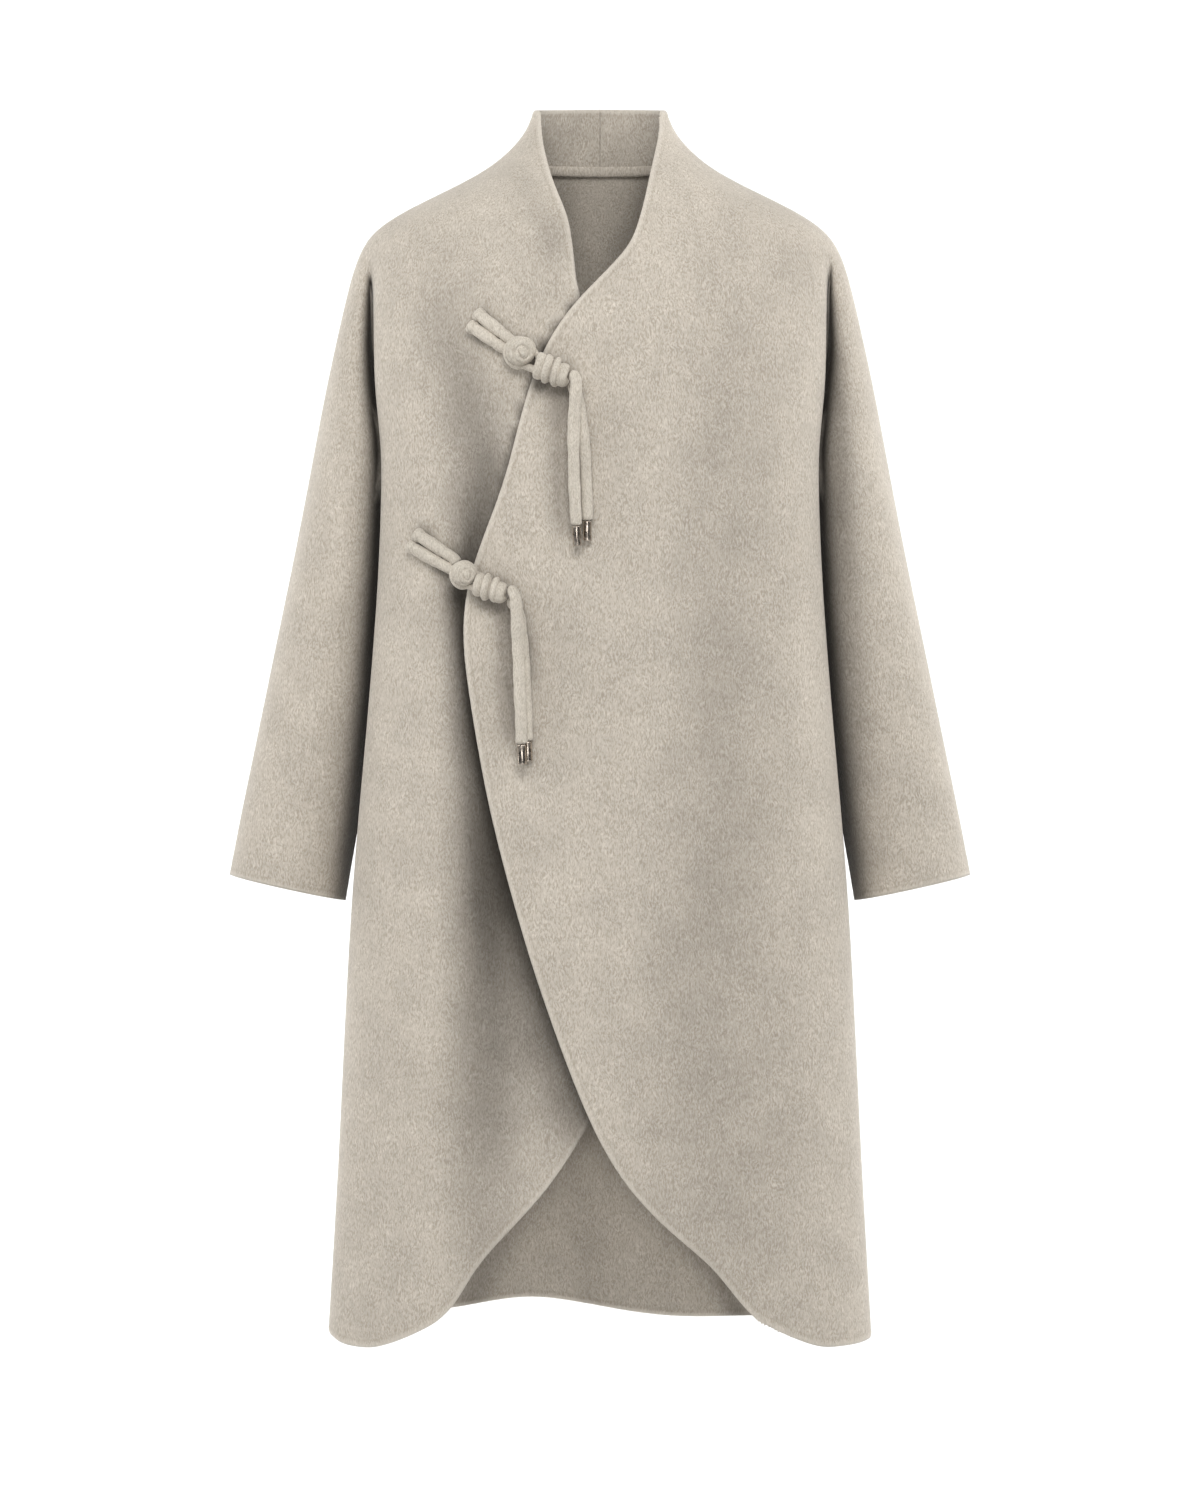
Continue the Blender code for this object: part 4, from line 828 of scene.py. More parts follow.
def border_points(mesh, reach_others):
    """Points along a piece's free edges and along its sewn ones."""
    free, sewn = [], []
    for edge in mesh.edges:
        if not edge.is_boundary:
            continue
        start, end = (vert.co for vert in edge.verts)
        along = sewn if max(reach_others(start), reach_others(end)) < SEWN_REACH else free
        steps = max(2, round((end - start).length / BORDER_STEP))
        along.extend(start.lerp(end, step / steps) for step in range(steps + 1))
    return free, sewn


def free_corners(mesh, reach_others):
    """Places where two free edges meet in a sharp corner."""
    corners = []
    for vert in mesh.verts:
        if len(vert.link_edges) != 2 or reach_others(vert.co) < SEWN_REACH:
            continue
        one, two = (edge.other_vert(vert).co for edge in vert.link_edges)
        if (one - vert.co).angle(two - vert.co) < math.radians(CORNER_ANGLE):
            corners.append(vert.co.copy())
    return corners


def rounded_corners(mesh, corners):
    """Round the outline of a net near its sharp corners."""
    for corner in corners:
        verts = [vert for vert in mesh.verts
                 if vert.is_boundary and (vert.co - corner).length < CORNER_REACH]
        for _ in range(CORNER_TURNS):
            places = []
            for vert in verts:
                one, two = (edge.other_vert(vert).co
                            for edge in vert.link_edges if edge.is_boundary)
                places.append(vert.co.lerp((one + two) / 2.0, 0.5))
            for vert, place in zip(verts, places):
                vert.co = place


def nearest_spot(place, lines):
    """Nearest place to a place on any of some straight lines."""
    spots = []
    for start, end in lines:
        run = end - start
        spots.append(start.lerp(end, held((place - start).dot(run) / run.length_squared)))
    return min(spots, key=lambda spot: (spot - place).length)


def sewn_together(nets):
    """Bring the edges of neighbouring pieces together over the gap between them."""
    edges = {name: [vert for vert in net.verts if vert.is_boundary] for name, net in nets.items()}
    moves = []
    for name, verts in edges.items():
        lines = [(vert.co.copy(), edge.other_vert(vert).co.copy())
                 for other, others in edges.items() if other != name
                 for vert in others for edge in vert.link_edges if edge.is_boundary]
        starts = tree_of([start for start, _ in lines])
        for vert in verts:
            beside = [lines[index] for _, index, _ in starts.find_n(vert.co, SEAM_LINES)]
            spot = nearest_spot(vert.co, beside)
            gap = (spot - vert.co).length
            if gap < SEWN_REACH:
                moves.append((vert, vert.co.lerp(spot, 0.5 + SEAM_LAP / max(gap, SEAM_LAP))))
    for vert, place in moves:
        vert.co = place


def dome(count):
    """Evenly spread directions over the half above +Z, denser towards the pole."""
    spots = []
    for index in range(count):
        height = math.sqrt(1.0 - (index + 0.5) / count)
        around = index * math.radians(GOLDEN_ANGLE)
        out = math.sqrt(1.0 - height * height)
        spots.append(Vector((out * math.cos(around), out * math.sin(around), height)))
    return spots


def net_tree(pieces):
    """Search tree over the faces of several pieces, each given as its points and its faces."""
    corners, faces = [], []
    for points, cells in pieces:
        start = len(corners)
        corners += points
        faces += [tuple(start + index for index in cell) for cell in cells]
    return BVHTree.FromPolygons(corners, faces)


def note_openness(nets):
    """Store at each point of the nets how open it is to the air, past cloth and cords."""
    for net in nets.values():
        net.verts.index_update()
    cloth = net_tree([([vert.co.copy() for vert in net.verts],
                       [[vert.index for vert in face.verts] for face in net.faces])
                      for net in nets.values()])
    cords = net_tree([([vert.co.copy() for vert in node.data.vertices],
                       [list(face.vertices) for face in node.data.polygons])
                      for name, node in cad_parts.items() if name.startswith("tie_")])
    spots = dome(SHADE_RAYS)
    up = Vector((0.0, 0.0, 1.0))

    def open_share(tree, start, way, reach):
        away = tree.ray_cast(start, way, reach)[3]
        return 1.0 if away is None else away / reach

    for net in nets.values():
        net.normal_update()
        for label in OPENNESS_LAYERS:
            net.verts.layers.float.new(label)
        outer, inner = (net.verts.layers.float[label] for label in OPENNESS_LAYERS)
        for vert in net.verts:
            turn = up.rotation_difference(vert.normal)
            ways = [turn @ spot for spot in spots]
            start = vert.co + vert.normal * SHADE_START
            air = [min(open_share(cloth, start, way, SHADE_REACH),
                       1.0 - CORD_SHADE * (1.0 - open_share(cords, start, way, CORD_REACH)))
                   for way in ways]
            vert[outer] = sum(air) / SHADE_RAYS
            start = vert.co - vert.normal * (CLOTH + SHADE_START)
            air = [open_share(cloth, start, -way, HOLLOW_REACH) for way in ways]
            vert[inner] = sum(air) / SHADE_RAYS


def thinly_cut(mesh, reach, band):
    """Divide the cells that lie within a band of an edge."""
    cells = [face for face in mesh.faces
             if face.calc_perimeter() > FINE_CELL
             and any(reach(vert.co) < band for vert in face.verts)]
    edges = {edge for face in cells for edge in face.edges}
    made = bmesh.ops.subdivide_edges(mesh, edges=list(edges), cuts=FINE_CUTS, use_grid_fill=True)
    inside = [part for part in made["geom_inner"]
              if isinstance(part, bmesh.types.BMVert) and not part.is_boundary]
    for _ in range(2):
        bmesh.ops.smooth_vert(mesh, verts=inside, factor=0.5, use_axis_x=True, use_axis_y=True,
                              use_axis_z=True)


def nearest_on(line, places):
    """Distance of places (x, y, z) from a line, and its other columns at the nearest point.

    The line is given as rows of x, z and those other columns.
    """
    flat = places[:, (0, 2)]
    nearest = np.full(len(flat), np.inf)
    found = np.zeros((len(flat), line.shape[1] - 2))
    for start, end in zip(line, line[1:]):
        run = end - start
        along = np.clip((flat - start[:2]) @ run[:2] / (run[:2] @ run[:2]), 0.0, 1.0)[:, None]
        away = np.linalg.norm(flat - (start[:2] + along * run[:2]), axis=1)
        closer = away < nearest
        nearest[closer] = away[closer]
        found[closer] = (start[2:] + along * run[2:])[closer]
    return nearest, found.T


def painted_fold_shade(places, folds):
    """Strength of the painted shade at places, from 0 to 1, from the rows along each fold."""
    clear = np.ones(len(places))
    for rows in folds:
        away, (half_width, depth) = nearest_on(np.array(rows), places)
        clear *= 1.0 - depth * np.exp(-(away / half_width) ** 2)
    return 1.0 - clear


def crease_rise(places, creases):
    """Rise of all the listed creases at places; each dies away at both ends."""
    total = np.zeros(len(places))
    for points, half_width, rise in creases:
        lengths = np.linalg.norm(np.diff(points, axis=0), axis=1)
        share = np.cumsum([0.0, *lengths]) / lengths.sum()
        away, (share,) = nearest_on(np.column_stack([points, share]), places)
        fade = np.sin(np.pi * np.clip(share, CREASE_END, 1.0 - CREASE_END)) ** CREASE_FADE
        total += rise * fade * np.exp(-(away / half_width) ** 2)
    return total


def shaped_shell(name, mesh, reach_free, reach_sewn, crease_share):
    """Lay creases and turned edges on a divided net, and give it its wall."""
    mesh.normal_update()
    places = np.array([vert.co for vert in mesh.verts])
    normals = np.array([vert.normal for vert in mesh.verts])
    free = np.array([reach_free(vert.co) for vert in mesh.verts])
    sewn = np.array([reach_sewn(vert.co) for vert in mesh.verts])
    edge, seam = np.array(EDGE_PROFILE), np.array(SEAM_PROFILE)
    push = crease_rise(places, CREASES[name]) * crease_share
    fade = np.clip(sewn / SEAM_FADE, 0.0, 1.0)
    push += np.interp(free, edge[:, 0], edge[:, 1]) * fade + np.interp(sewn, seam[:, 0], seam[:, 1])
    wall = np.interp(free, edge[:, 0], edge[:, 2])
    thickest = wall.max()
    for vert, place in zip(mesh.verts, places + normals * push[:, None]):
        vert.co = place
    data = data_of(name, mesh)
    store(data, "edge_reach", free)

    def set_up(draft):
        group = draft.vertex_groups.new(name="wall")
        for index, share in enumerate(wall / thickest):
            group.add([index], float(share), "REPLACE")
        shell = draft.modifiers.new("Wall", "SOLIDIFY")
        shell.thickness = thickest
        shell.offset = -1.0
        shell.vertex_group = "wall"

    made = evaluated(data, set_up)
    # openness of both sides and the fold shade of the outer and inner side, from which the finish
    # paints shade
    air = np.empty((2, len(places)), np.float32)
    for row, label in zip(air, OPENNESS_LAYERS):
        data.attributes[label].data.foreach_get("value", row)
    made.attributes["openness"].data.foreach_set("value", air.ravel())
    made.attributes.remove(made.attributes["hollow_openness"])
    shades = [painted_fold_shade(places, table[name]) for table in (PAINTED_FOLD_SHADES, PAINTED_HOLLOW_SHADES)]
    store(made, "painted_fold_shade", np.concatenate(shades))
    return made


def make_cloth():
    """The three cut pieces: wearer's left front, right front and back."""
    settings = bpy.context.scene.coat_cloth
    nets = {name: outer_net(name) for name in CUTS}
    corners = {}
    for name, net in nets.items():
        reach_others = reach_from([vert.co for other in CUTS if other != name
                                   for vert in nets[other].verts])
        corners[name] = free_corners(net, reach_others)
    nets = {name: divided(net, 1) for name, net in nets.items()}
    for name, net in nets.items():
        rounded_corners(net, corners[name])
    note_openness(nets)
    nets = {name: divided(net, settings.divisions - 1) for name, net in nets.items()}
    sewn_together(nets)
    borders = {name: [vert.co.copy() for vert in net.verts if vert.is_boundary]
               for name, net in nets.items()}
    for name, net in nets.items():
        reach_others = reach_from([point for other, points in borders.items() if other != name
                                   for point in points])
        reach_free, reach_sewn = map(reach_from, border_points(net, reach_others))
        thinly_cut(net, reach_free, EDGE_BAND)
        thinly_cut(net, reach_sewn, SEAM_BAND)
        data = shaped_shell(name, net, reach_free, reach_sewn, settings.crease_share)
        piece = placed(name + "_cloth", data, "wool_cloth", name)


def make_neck_strip():
    """Flat rounded strip over the inside of the back neck seam, hanging a little in the middle."""
    mesh = merged_solid("neck_strip")
    join_cells(mesh)
    mesh = divided(mesh, 2)
    places = np.array([vert.co for vert in mesh.verts])
    places = places[np.argsort(places[:, 0])]
    middles = np.array([part.mean(axis=0) for part in np.array_split(places, STRIP_PARTS)])
    half = abs(places[:, 0]).max()
    for vert in mesh.verts:
        x, y, z = vert.co
        depth, level = (np.interp(x, middles[:, 0], middles[:, axis]) for axis in (1, 2))
        sag = STRIP_SAG * (1.0 - (x / half) ** 2)
        vert.co = Vector((x, depth + (y - depth) * STRIP_FLAT,
                          level + (z - level) * STRIP_TALL - sag))
    data = finished("neck_strip_cloth", mesh, "wool_cloth", "neck_strip").data
    # the strip gets no painted shade and no painted edge highlight
    values = {"edge_reach": EDGE_BAND, "openness": CLEAR_OPENNESS, "painted_fold_shade": 0.0}
    for label, value in values.items():
        store(data, label, [value] * len(data.vertices))


# ---------------------------------------------------------------- cords and knots

ROUTE_PARTS = 12          # parts of the smooth curve between two points of a route
END_GIRTH = 0.04          # square of the share of its radius that a rounded end keeps


def steps_of(points):
    """Lengths of the steps from point to point."""
    return [(after - before).length for before, after in zip(points, points[1:])]


def smooth_route(route, spacing):
    """Evenly spaced points on a smooth curve through the route's own points."""
    route = [Vector(point) for point in route]
    padded = [route[0] * 2 - route[1]] + route + [route[-1] * 2 - route[-2]]
    fine = []
    for a, b, c, d in zip(padded, padded[1:], padded[2:], padded[3:]):
        for part in range(ROUTE_PARTS):
            t = part / ROUTE_PARTS
            fine.append(0.5 * (2 * b + (c - a) * t + (2 * a - 5 * b + 4 * c - d) * t ** 2
                               + (3 * b - a - 3 * c + d) * t ** 3))
    fine.append(route[-1])
    lengths = np.cumsum([0.0, *steps_of(fine)])
    count = max(2, round(lengths[-1] / spacing) + 1)
    wanted = np.linspace(0.0, lengths[-1], count)
    axes = [np.interp(wanted, lengths, [point[axis] for point in fine]) for axis in range(3)]
    return [Vector(point) for point in zip(*axes)]


def swept(mesh, points, sides, reach, across=None):
    """Add a closed tube along points; reach(distance, whole, angle) is its radius there."""
    slot = mesh.verts.layers.int.get("slot") or mesh.verts.layers.int.new("slot")
    ways = [(after - before).normalized()
            for before, after in zip([points[0]] + points[:-1], points[1:] + [points[-1]])]
    across = (across or ways[0].orthogonal()).copy()
    whole = sum(steps_of(points))
    ring = bmesh.ops.create_circle(mesh, segments=sides, radius=1.0)["verts"]
    for index, vert in enumerate(ring):
        vert[slot] = index
    edges = list({edge for vert in ring for edge in vert.link_edges})
    first = edges
    distance = 0.0
    for number, (point, way) in enumerate(zip(points, ways)):
        if number:
            made = bmesh.ops.extrude_edge_only(mesh, edges=edges)["geom"]
            ring = [part for part in made if isinstance(part, bmesh.types.BMVert)]
            edges = [part for part in made if isinstance(part, bmesh.types.BMEdge)
                     and all(vert in ring for vert in part.verts)]
            distance += (point - points[number - 1]).length
        across = (across - way * across.dot(way)).normalized()
        above = way.cross(across)
        for vert in ring:
            angle = 2.0 * math.pi * vert[slot] / sides
            radius = reach(distance, whole, angle)
            vert.co = point + (across * math.cos(angle) + above * math.sin(angle)) * radius
    for border in (first, edges):
        bmesh.ops.contextual_create(mesh, geom=border)
    bmesh.ops.recalc_face_normals(mesh, faces=mesh.faces)


def rounded_end(distance, length):
    """Share of a radius that rounds off an end over a length."""
    return math.sqrt(max(END_GIRTH, 1.0 - (1.0 - held(distance / length)) ** 2))


def cord_piece(name, points, sides, reach, across=None):
    """Wool cord along points that stands for a node."""
    mesh = bmesh.new()
    swept(mesh, points, sides, reach, across)
    return finished(name + "_cord", mesh, "wool_cord", name)


def make_tail(name, route):
    """One hanging cord: soft, with a lengthwise furrow where its cloth is joined."""
    points = smooth_route(route, TAIL_STEP)
    seed = sum(map(ord, name))

    def reach(distance, whole, angle):
        twist = math.remainder(angle - FURROW_START - distance * FURROW_TWIST, 2.0 * math.pi)
        furrow = FURROW_DEPTH * near(twist, 0.0, FURROW_WIDTH)
        section = 1.0 + oval(angle, TAIL_OVAL, distance * OVAL_TWIST) - furrow
        start, end = TAIL_ENDS
        ends = rounded_end(distance, start) * rounded_end(whole - distance, end)
        soft = uneven(distance, TAIL_WAVES, seed) * neck(distance, *TAIL_NECK)
        return TAIL_RADIUS * TAIL_SWELL * soft * section * ends

    piece = cord_piece(name, points, bpy.context.scene.coat_ties.sides, reach)
    tip = make_tip(name.replace("tail", "aglet"), route)


def make_tip(name, route):
    """Metal tip: a turned sleeve with rolled rims, drawn on the end of a tail."""
    last, before = Vector(route[-1]), Vector(route[-2])
    way = (last - before).normalized()
    top = last + way * TOUCH
    mesh = bmesh.new()
    verts = [mesh.verts.new((out * TIP_RADIUS, 0.0, down * TIP_LENGTH))
             for out, down in TIP_OUTLINE]
    edges = [mesh.edges.new(pair) for pair in zip(verts, verts[1:])]
    bmesh.ops.spin(mesh, geom=verts + edges, cent=(0.0, 0.0, 0.0), axis=(0.0, 0.0, 1.0),
                   angle=2.0 * math.pi, steps=TIP_SIDES, use_merge=True)
    bmesh.ops.remove_doubles(mesh, verts=mesh.verts, dist=TIP_DOUBLES)
    turn = Vector((0.0, 0.0, 1.0)).rotation_difference(way)
    for vert in mesh.verts:
        vert.co = turn @ vert.co + top
    bmesh.ops.recalc_face_normals(mesh, faces=mesh.faces)
    return finished(name + "_metal", mesh, "gunmetal", name)


def front_surface():
    """Search tree over the finished right front, to lay the legs on it."""
    data = bpy.data.objects["front_right_cloth"].data
    corners = [vert.co.copy() for vert in data.vertices]
    return BVHTree.FromPolygons(corners, [tuple(face.vertices) for face in data.polygons])


def make_leg(name, flat_route, under, ball):
    """A sewn-down leg: folded cloth cap at its free end, pinched in where it nears the knot."""
    route = []
    for x, z in flat_route:
        place, normal, _, _ = under.ray_cast(Vector((x, -1.0, z)), Vector((0.0, 1.0, 0.0)))
        route.append(place + normal * LEG_RADIUS * LEG_LIFT)
    inwards = Vector((ball.x - route[-1].x, 0.0, ball.z - route[-1].z))
    route.append(route[-1] + inwards.normalized() * LEG_TUCK)
    points = smooth_route(route, LEG_STEP)[LEG_CUT:]

    def reach(distance, whole, angle):
        share = distance / whole
        (rise_start, rise), (fall_start, fall) = CAP_RISE, CAP_FALL
        full = ease((distance - rise_start) / rise) * (1.0 - ease((distance - fall_start) / fall))
        cap = 1.0 + CAP_SWELL * full
        depth, place, width = CAP_FOLD
        fold = 1.0 - depth * near(distance, place, width)
        depth, start, length = LEG_PINCH
        pinch = 1.0 - depth * ease((share - start) / length)
        depth, place, width = LEG_DENT
        pinch -= depth * near(share, place, width)
        soft = uneven(distance, LEG_WAVES) + oval(angle, LEG_OVAL, LEG_OVAL_TURN)
        blunt, length = LEG_END
        end = blunt + (1.0 - blunt) * rounded_end(distance, length)
        return LEG_RADIUS * LEG_SWELL * cap * fold * pinch * soft * end

    cord_piece(name, points, bpy.context.scene.coat_ties.sides, reach)


def make_ball(name, centre, size):
    """Ball knot: cord wound in rings round a slanted pole, its end tucked in as a small lens."""
    side = (Vector((1.0, 0.0, 0.0)) - BALL_POLE * BALL_POLE.x).normalized()
    above = side.cross(BALL_POLE)
    cord = size * BALL_CORD

    def ring(share):
        return math.radians(BALL_START) + 2.0 * math.pi * BALL_TURNS * share

    def width(share):
        full = max(0.0, math.cos(ring(share) - math.radians(FULL_SIDE)))
        return 1.0 + FULL_SHARE * full * (1.0 - FULL_FADE * share)

    path = []
    for step in range(BALL_STEPS + 1):
        share = step / BALL_STEPS
        polar = math.radians(BALL_POLAR - BALL_SPAN * share ** BALL_CLIMB)
        bow = size - cord * width(share) * BALL_SINK
        flat = side * math.cos(ring(share)) + above * math.sin(ring(share))
        path.append(centre + (BALL_POLE * math.cos(polar) + flat * math.sin(polar)) * bow)

    def reach(distance, whole, angle):
        ends = rounded_end(distance, cord) * rounded_end(whole - distance, cord * BALL_TAPER)
        girth = width(distance / whole) * uneven(distance, BALL_WAVES)
        return cord * girth * max(BALL_END, ends)

    mesh = bmesh.new()
    swept(mesh, path, KNOT_SIDES, reach)
    core = bmesh.ops.create_icosphere(mesh, subdivisions=3, radius=size * BALL_CORE)["verts"]
    for vert in core:
        vert.co += centre
    lens = bmesh.ops.create_icosphere(mesh, subdivisions=3, radius=size * BALL_LENS)["verts"]
    for vert in lens:
        out = vert.co
        vert.co = (centre + BALL_POLE * (size * LENS_OUT + out.z * LENS_WIDE)
                   + side * out.x * LENS_WIDE + above * (out.y * LENS_TALL + out.x * LENS_LEAN))
    for vert in mesh.verts:
        vert.co.y = centre.y + (vert.co.y - centre.y) * BALL_FLAT
    bmesh.ops.recalc_face_normals(mesh, faces=mesh.faces)
    finished(name + "_cord", mesh, "wool_cord", name)


def make_roll(name, start, end, radius, seed):
    """Roll of four soft wraps side by side, fuller at the knot than at the tails."""
    axis = (end - start).normalized()
    length = (end - start).length
    back = (Vector((0.0, 1.0, 0.0)) - axis * axis.y).normalized()
    above = axis.cross(back)
    half = length / WRAPS / 2.0
    wide, thick = half * WRAP_WIDE, half * WRAP_THICK
    steps = WRAP_STEPS * WRAPS

    def girth(share):
        lump = WRAP_LUMP * math.sin(2.0 * math.pi * share * WRAP_LUMPS + seed)
        return (1.0 + lump) * (1.0 - WRAP_TAPER * share) * neck(share, *WRAP_NECK)

    path = []
    for step in range(steps + 1):
        share = step / steps
        turn = 2.0 * math.pi * WRAPS * share
        tucked, climb = WRAP_TUCK
        tuck = min(1.0, tucked + climb * min(share, 1.0 - share))
        out = (radius * girth(share) - thick) * tuck
        path.append(start + axis * length * (WRAP_FIRST + WRAP_SPAN * share)
                    + (back * math.cos(turn) + above * math.sin(turn)) * out)

    def reach(distance, whole, angle):
        ends = rounded_end(distance, half) * rounded_end(whole - distance, half)
        section = wide * thick / math.hypot(thick * math.cos(angle), wide * math.sin(angle))
        return section * uneven(distance, ROLL_WAVES, seed) * max(WRAP_END, ends)

    mesh = bmesh.new()
    swept(mesh, path, ROLL_SIDES, reach, across=axis)
    knot_end, tail_end, depth = ROLL_CORE
    core = bmesh.ops.create_cone(mesh, cap_ends=True, segments=ROLL_SIDES,
                                 radius1=radius * knot_end, radius2=radius * tail_end,
                                 depth=length * depth)["verts"]
    turn = Vector((0.0, 0.0, 1.0)).rotation_difference(axis)
    for vert in core:
        vert.co = turn @ vert.co + (start + end) / 2.0
    finished(name + "_cord", mesh, "wool_cord", name)


def make_loop(name, ball, size, wrap_start, axis):
    """Loop out of the roll, close round the back of the ball knot and into the roll again."""
    ahead = Vector((axis.x, 0.0, axis.z)).normalized()
    above = Vector((-ahead.z, 0.0, ahead.x))
    middle = ball + LOOP_SHIFT
    entry = wrap_start + axis * LOOP_DEPTH
    route = [entry + above * LOOP_ENTRY * LOOP_ENTRY_TOP]
    for degrees in LOOP_TURNS:
        angle = math.radians(degrees)
        flat = ahead * math.cos(angle) + above * math.sin(angle)
        back = Vector((0.0, LOOP_SLANT * math.sin(angle), 0.0))
        route.append(middle + back + flat * size * LOOP_HUG)
    route.append(entry - above * LOOP_ENTRY)
    points = smooth_route(route, LOOP_STEP)

    def reach(distance, whole, angle):
        soft = uneven(distance, LOOP_WAVES) + oval(angle, LOOP_OVAL)
        share, start, length = LOOP_FULL
        full = 1.0 + share * ease((distance / whole - start) / length)
        ends = rounded_end(distance, LOOP_END) * rounded_end(whole - distance, LOOP_END)
        return LOOP_RADIUS * soft * full * ends

    cord_piece(name, points, KNOT_SIDES, reach)


def make_ties():
    """Legs, ball knot, loop and wrapped roll of both ties."""
    under = front_surface()
    for number, (name, sizes) in enumerate(TIES.items()):
        ball = Vector(sizes["ball"]) + Vector(sizes["ball_shift"])
        size = sizes["ball_radius"] * sizes["ball_swell"]
        for leg in ("leg_upper", "leg_lower"):
            make_leg(f"{name}_{leg}", sizes[leg], under, ball)
        start, end = Vector(sizes["wrap_start"]), Vector(sizes["wrap_end"])
        axis = (end - start).normalized()
        make_ball(f"{name}_ball_knot", ball, size)
        make_roll(f"{name}_wrapped_roll", start, end, sizes["wrap_radius"],
                  WRAP_SEED + WRAP_SEED_STEP * number)
        make_loop(f"{name}_loop", ball, size, start, axis)


def make_tails():
    """The four hanging cords with their metal tips."""
    for name, sizes in TIES.items():
        for tail in ("tail_front", "tail_back"):
            make_tail(f"{name}_{tail}", sizes[tail])


# ---------------------------------------------------------------- camera and studio

SENSOR = 36.0             # width in millimetres
SWEEP_HALF_WIDTH = 6.0
SWEEP_RUN = 9.0           # length of the flat sheet from front to top
SWEEP_PARTS = 40
FLOOR_START = -4.0        # where its front edge lies along Y
FLOOR_RUN = 5.2           # the part that lies flat
BEND_RUN = 1.9            # the part that bends up
BEND_RADIUS = 1.2
RISE_STRETCH = 1.9        # stretch of the part that stands
WORLD_STRENGTH = 0.04

LAMPS = [
    # name, place, target, width, height, watts
    ("front", (0.0, -2.50, 1.15), (0.0, 0.0, -0.35), 1.6, 1.0, 57.0),
    ("front_right", (2.10, -1.80, 1.35), (0.0, 0.0, -0.35), 0.5, 0.7, 20.0),
    ("fill", (0.0, -3.60, -0.95), (0.0, 0.0, -0.60), 1.2, 0.5, 19.0),
    ("side_left", (-2.66, -0.76, 1.10), (0.0, 0.0, -0.40), 1.2, 1.6, 48.0),
    ("side_right", (2.58, 0.23, 1.38), (0.0, 0.0, -0.40), 1.2, 1.6, 48.0),
    ("backdrop_left", (-2.6, 1.4, 0.6), (-0.6, 2.9, -0.4), 1.0, 2.6, 60.0),
    ("backdrop_right", (2.6, 1.4, 0.6), (0.6, 2.9, -0.4), 1.0, 2.6, 60.0),
]


def make_camera():
    """Camera straight before the coat, level with its waist."""
    settings = bpy.context.scene.coat_stage
    data = bpy.data.cameras.new("camera")
    data.lens = settings.camera_lens
    data.sensor_width = SENSOR
    camera = bpy.data.objects.new("camera", data)
    camera.location = (0.0, -settings.camera_distance, settings.camera_height)
    camera.rotation_euler = (math.radians(90.0), 0.0, 0.0)
    bpy.context.scene.collection.objects.link(camera)
    bpy.context.scene.camera = camera


def sweep_material(colour):
    """Matt paper, barely mottled, and clear from behind."""
    material = bpy.data.materials.new("studio_sweep")
    material.use_nodes = True
    tree = material.node_tree
    shader = tree.nodes["Principled BSDF"]
    place = tree.nodes.new("ShaderNodeTexCoord")
    mottle = ramp(tree, noise(tree, place.outputs["Object"], 3.0), 0.3, 0.7)
    darker = tuple(SWEEP_DIP * part for part in colour)
    tree.links.new(blended(tree, mottle, darker, colour), shader.inputs["Base Color"])
    shader.inputs["Roughness"].default_value = 1.0
    shader.inputs["Specular IOR Level"].default_value = 0.1
    behind = tree.nodes.new("ShaderNodeNewGeometry").outputs["Backfacing"]
    tree.links.new(maths(tree, "SUBTRACT", 1.0, behind), shader.inputs["Alpha"])
    return material


def make_sweep():
    """Floor that curves up into a backdrop, in one sheet."""
    settings = bpy.context.scene.coat_stage
    mesh = bmesh.new()
    bmesh.ops.create_grid(mesh, x_segments=2, y_segments=SWEEP_PARTS, size=1.0)
    for vert in mesh.verts:
        run = (vert.co.y + 1.0) / 2.0 * SWEEP_RUN
        bend = held((run - FLOOR_RUN) / BEND_RUN) * math.pi / 2.0
        rise = max(0.0, run - FLOOR_RUN - BEND_RUN) * RISE_STRETCH
        vert.co = Vector((vert.co.x * SWEEP_HALF_WIDTH,
                          FLOOR_START + min(run, FLOOR_RUN) + BEND_RADIUS * math.sin(bend),
                          settings.floor_level + BEND_RADIUS * (1.0 - math.cos(bend)) + rise))
    mesh.normal_update()
    turned_away = [face for face in mesh.faces if face.normal.z < 0.0 or face.normal.y > 0.5]
    bmesh.ops.reverse_faces(mesh, faces=turned_away)
    data = data_of("studio_sweep", mesh)
    data.shade_smooth()
    data.materials.append(sweep_material(tuple(settings.sweep)))
    sweep = bpy.data.objects.new("studio_sweep", data)
    bpy.context.scene.collection.objects.link(sweep)


def make_lamps():
    """Large soft lamps and a pale surrounding."""
    for name, place, target, width, height, watts in LAMPS:
        data = bpy.data.lights.new(name, "AREA")
        data.shape = "RECTANGLE"
        data.size, data.size_y = width, height
        data.energy = watts
        lamp = bpy.data.objects.new(name, data)
        lamp.location = place
        lamp.rotation_euler = (Vector(target) - Vector(place)).to_track_quat("-Z", "Y").to_euler()
        bpy.context.scene.collection.objects.link(lamp)
    world = bpy.data.worlds.new("studio")
    world.use_nodes = True
    shade = world.node_tree.nodes["Background"]
    shade.inputs["Color"].default_value = (1.0, 1.0, 1.0, 1.0)
    shade.inputs["Strength"].default_value = WORLD_STRENGTH
    bpy.context.scene.world = world
    bpy.context.scene.view_settings.view_transform = "Standard"


# ---------------------------------------------------------------- operators and panel

class COAT_OT_camera(bpy.types.Operator):
    """Set the camera straight before the coat"""

    bl_idname = "coat.camera"
    bl_label = "Camera"

    def execute(self, context):
        make_camera()
        return {"FINISHED"}


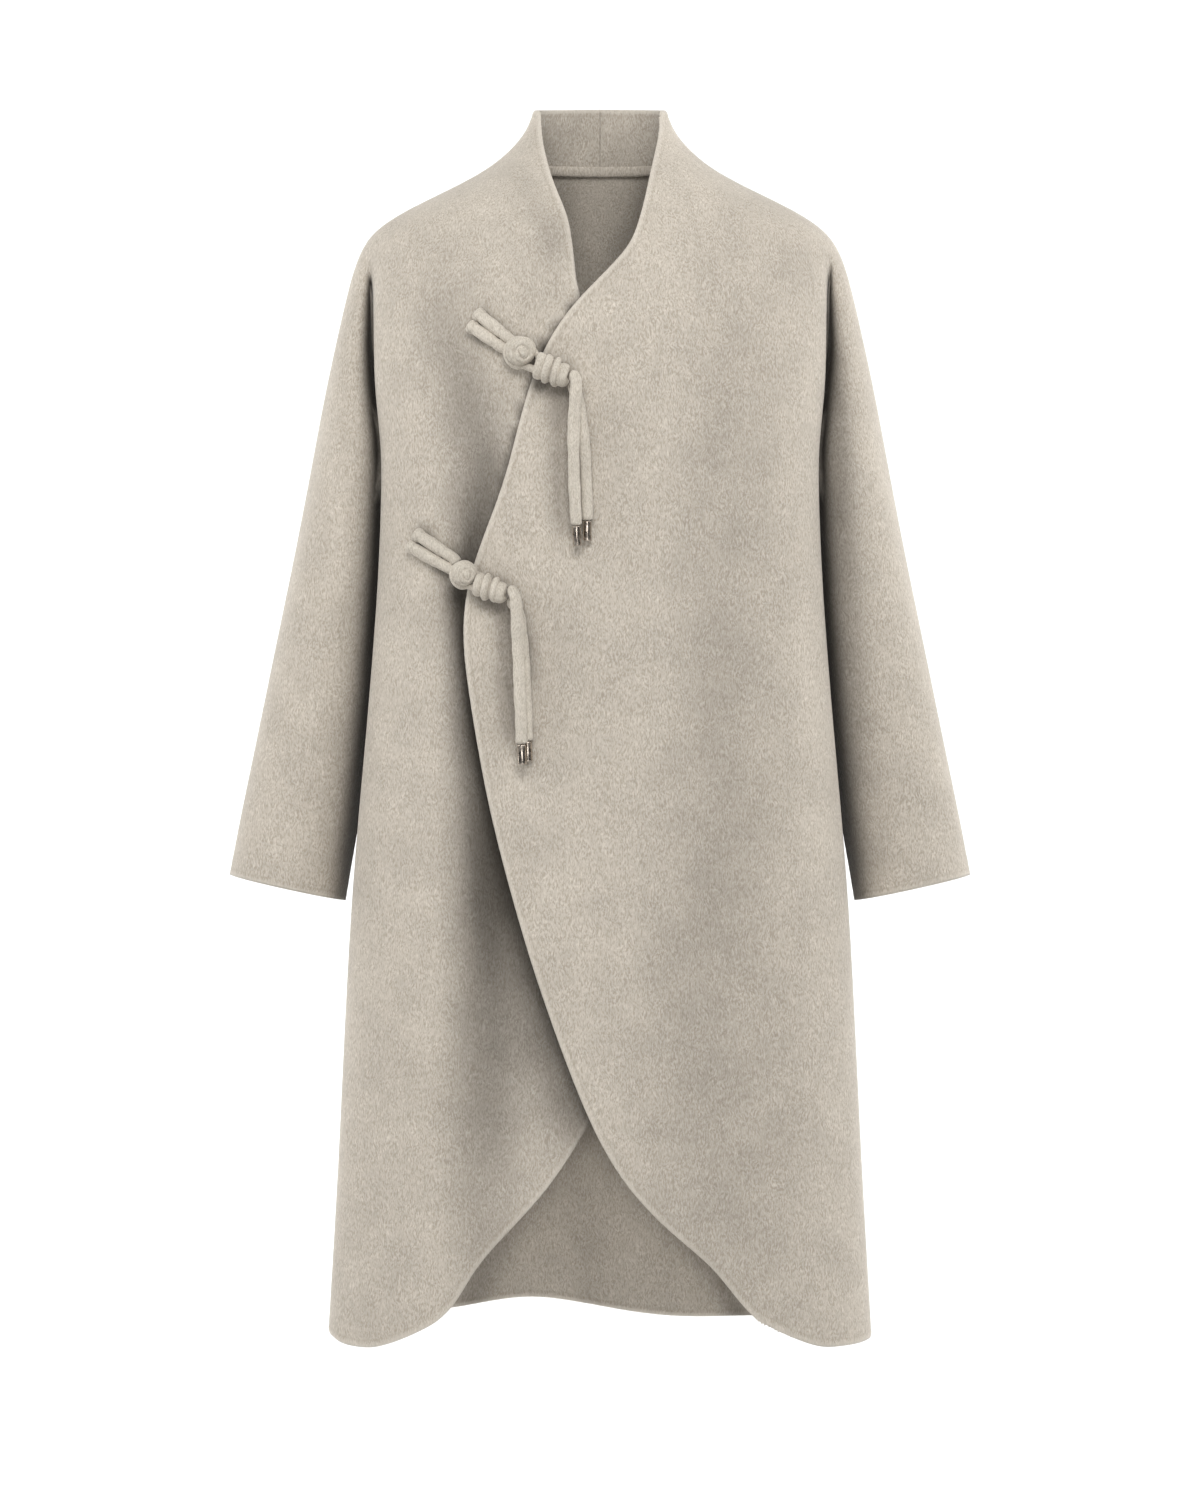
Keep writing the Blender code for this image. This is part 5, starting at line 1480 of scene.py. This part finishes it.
class COAT_OT_tails(bpy.types.Operator):
    """Make the four hanging cords and their metal tips"""

    bl_idname = "coat.tails"
    bl_label = "Hanging cords"

    def execute(self, context):
        make_tails()
        return {"FINISHED"}


class COAT_OT_cloth(bpy.types.Operator):
    """Make the two fronts and the back as thin shells on their nets"""

    bl_idname = "coat.cloth"
    bl_label = "Cloth pieces"

    def execute(self, context):
        make_cloth()
        return {"FINISHED"}


class COAT_OT_neck_strip(bpy.types.Operator):
    """Make the strip over the back neck seam"""

    bl_idname = "coat.neck_strip"
    bl_label = "Neck strip"

    def execute(self, context):
        make_neck_strip()
        return {"FINISHED"}


class COAT_OT_ties(bpy.types.Operator):
    """Make the legs, knots, loops and rolls of the ties"""

    bl_idname = "coat.ties"
    bl_label = "Ties"

    def execute(self, context):
        make_ties()
        return {"FINISHED"}


class COAT_OT_stage(bpy.types.Operator):
    """Make the studio sweep and the lamps"""

    bl_idname = "coat.stage"
    bl_label = "Studio"

    def execute(self, context):
        make_sweep()
        make_lamps()
        return {"FINISHED"}


OPERATORS = (COAT_OT_camera, COAT_OT_tails, COAT_OT_neck_strip, COAT_OT_cloth, COAT_OT_ties,
             COAT_OT_stage)


class COAT_PT_panel(bpy.types.Panel):
    """Lists the steps and the settings"""

    bl_label = "Wrap coat"
    bl_idname = "COAT_PT_panel"
    bl_space_type = "VIEW_3D"
    bl_region_type = "UI"
    bl_category = "Coat"

    def draw(self, context):
        for operator in OPERATORS:
            self.layout.operator(operator.bl_idname)
        scene = context.scene
        for settings in (scene.coat_cloth, scene.coat_ties, scene.coat_stage):
            box = self.layout.box()
            for name in settings.__annotations__:
                box.prop(settings, name)


CLASSES = (CoatClothSettings, CoatTieSettings, CoatStageSettings, *OPERATORS, COAT_PT_panel)


def register():
    """Make the classes and settings known."""
    for known in CLASSES:
        bpy.utils.register_class(known)
    bpy.types.Scene.coat_cloth = PointerProperty(type=CoatClothSettings)
    bpy.types.Scene.coat_ties = PointerProperty(type=CoatTieSettings)
    bpy.types.Scene.coat_stage = PointerProperty(type=CoatStageSettings)


def unregister():
    """Take them out again."""
    del bpy.types.Scene.coat_stage
    del bpy.types.Scene.coat_ties
    del bpy.types.Scene.coat_cloth
    for known in reversed(CLASSES):
        bpy.utils.unregister_class(known)


def main():
    """Build everything in order."""
    register()
    bpy.ops.coat.camera()
    bpy.ops.coat.tails()
    bpy.ops.coat.neck_strip()
    bpy.ops.coat.cloth()
    bpy.ops.coat.ties()
    bpy.ops.coat.stage()


if __name__ == "__main__":
    main()
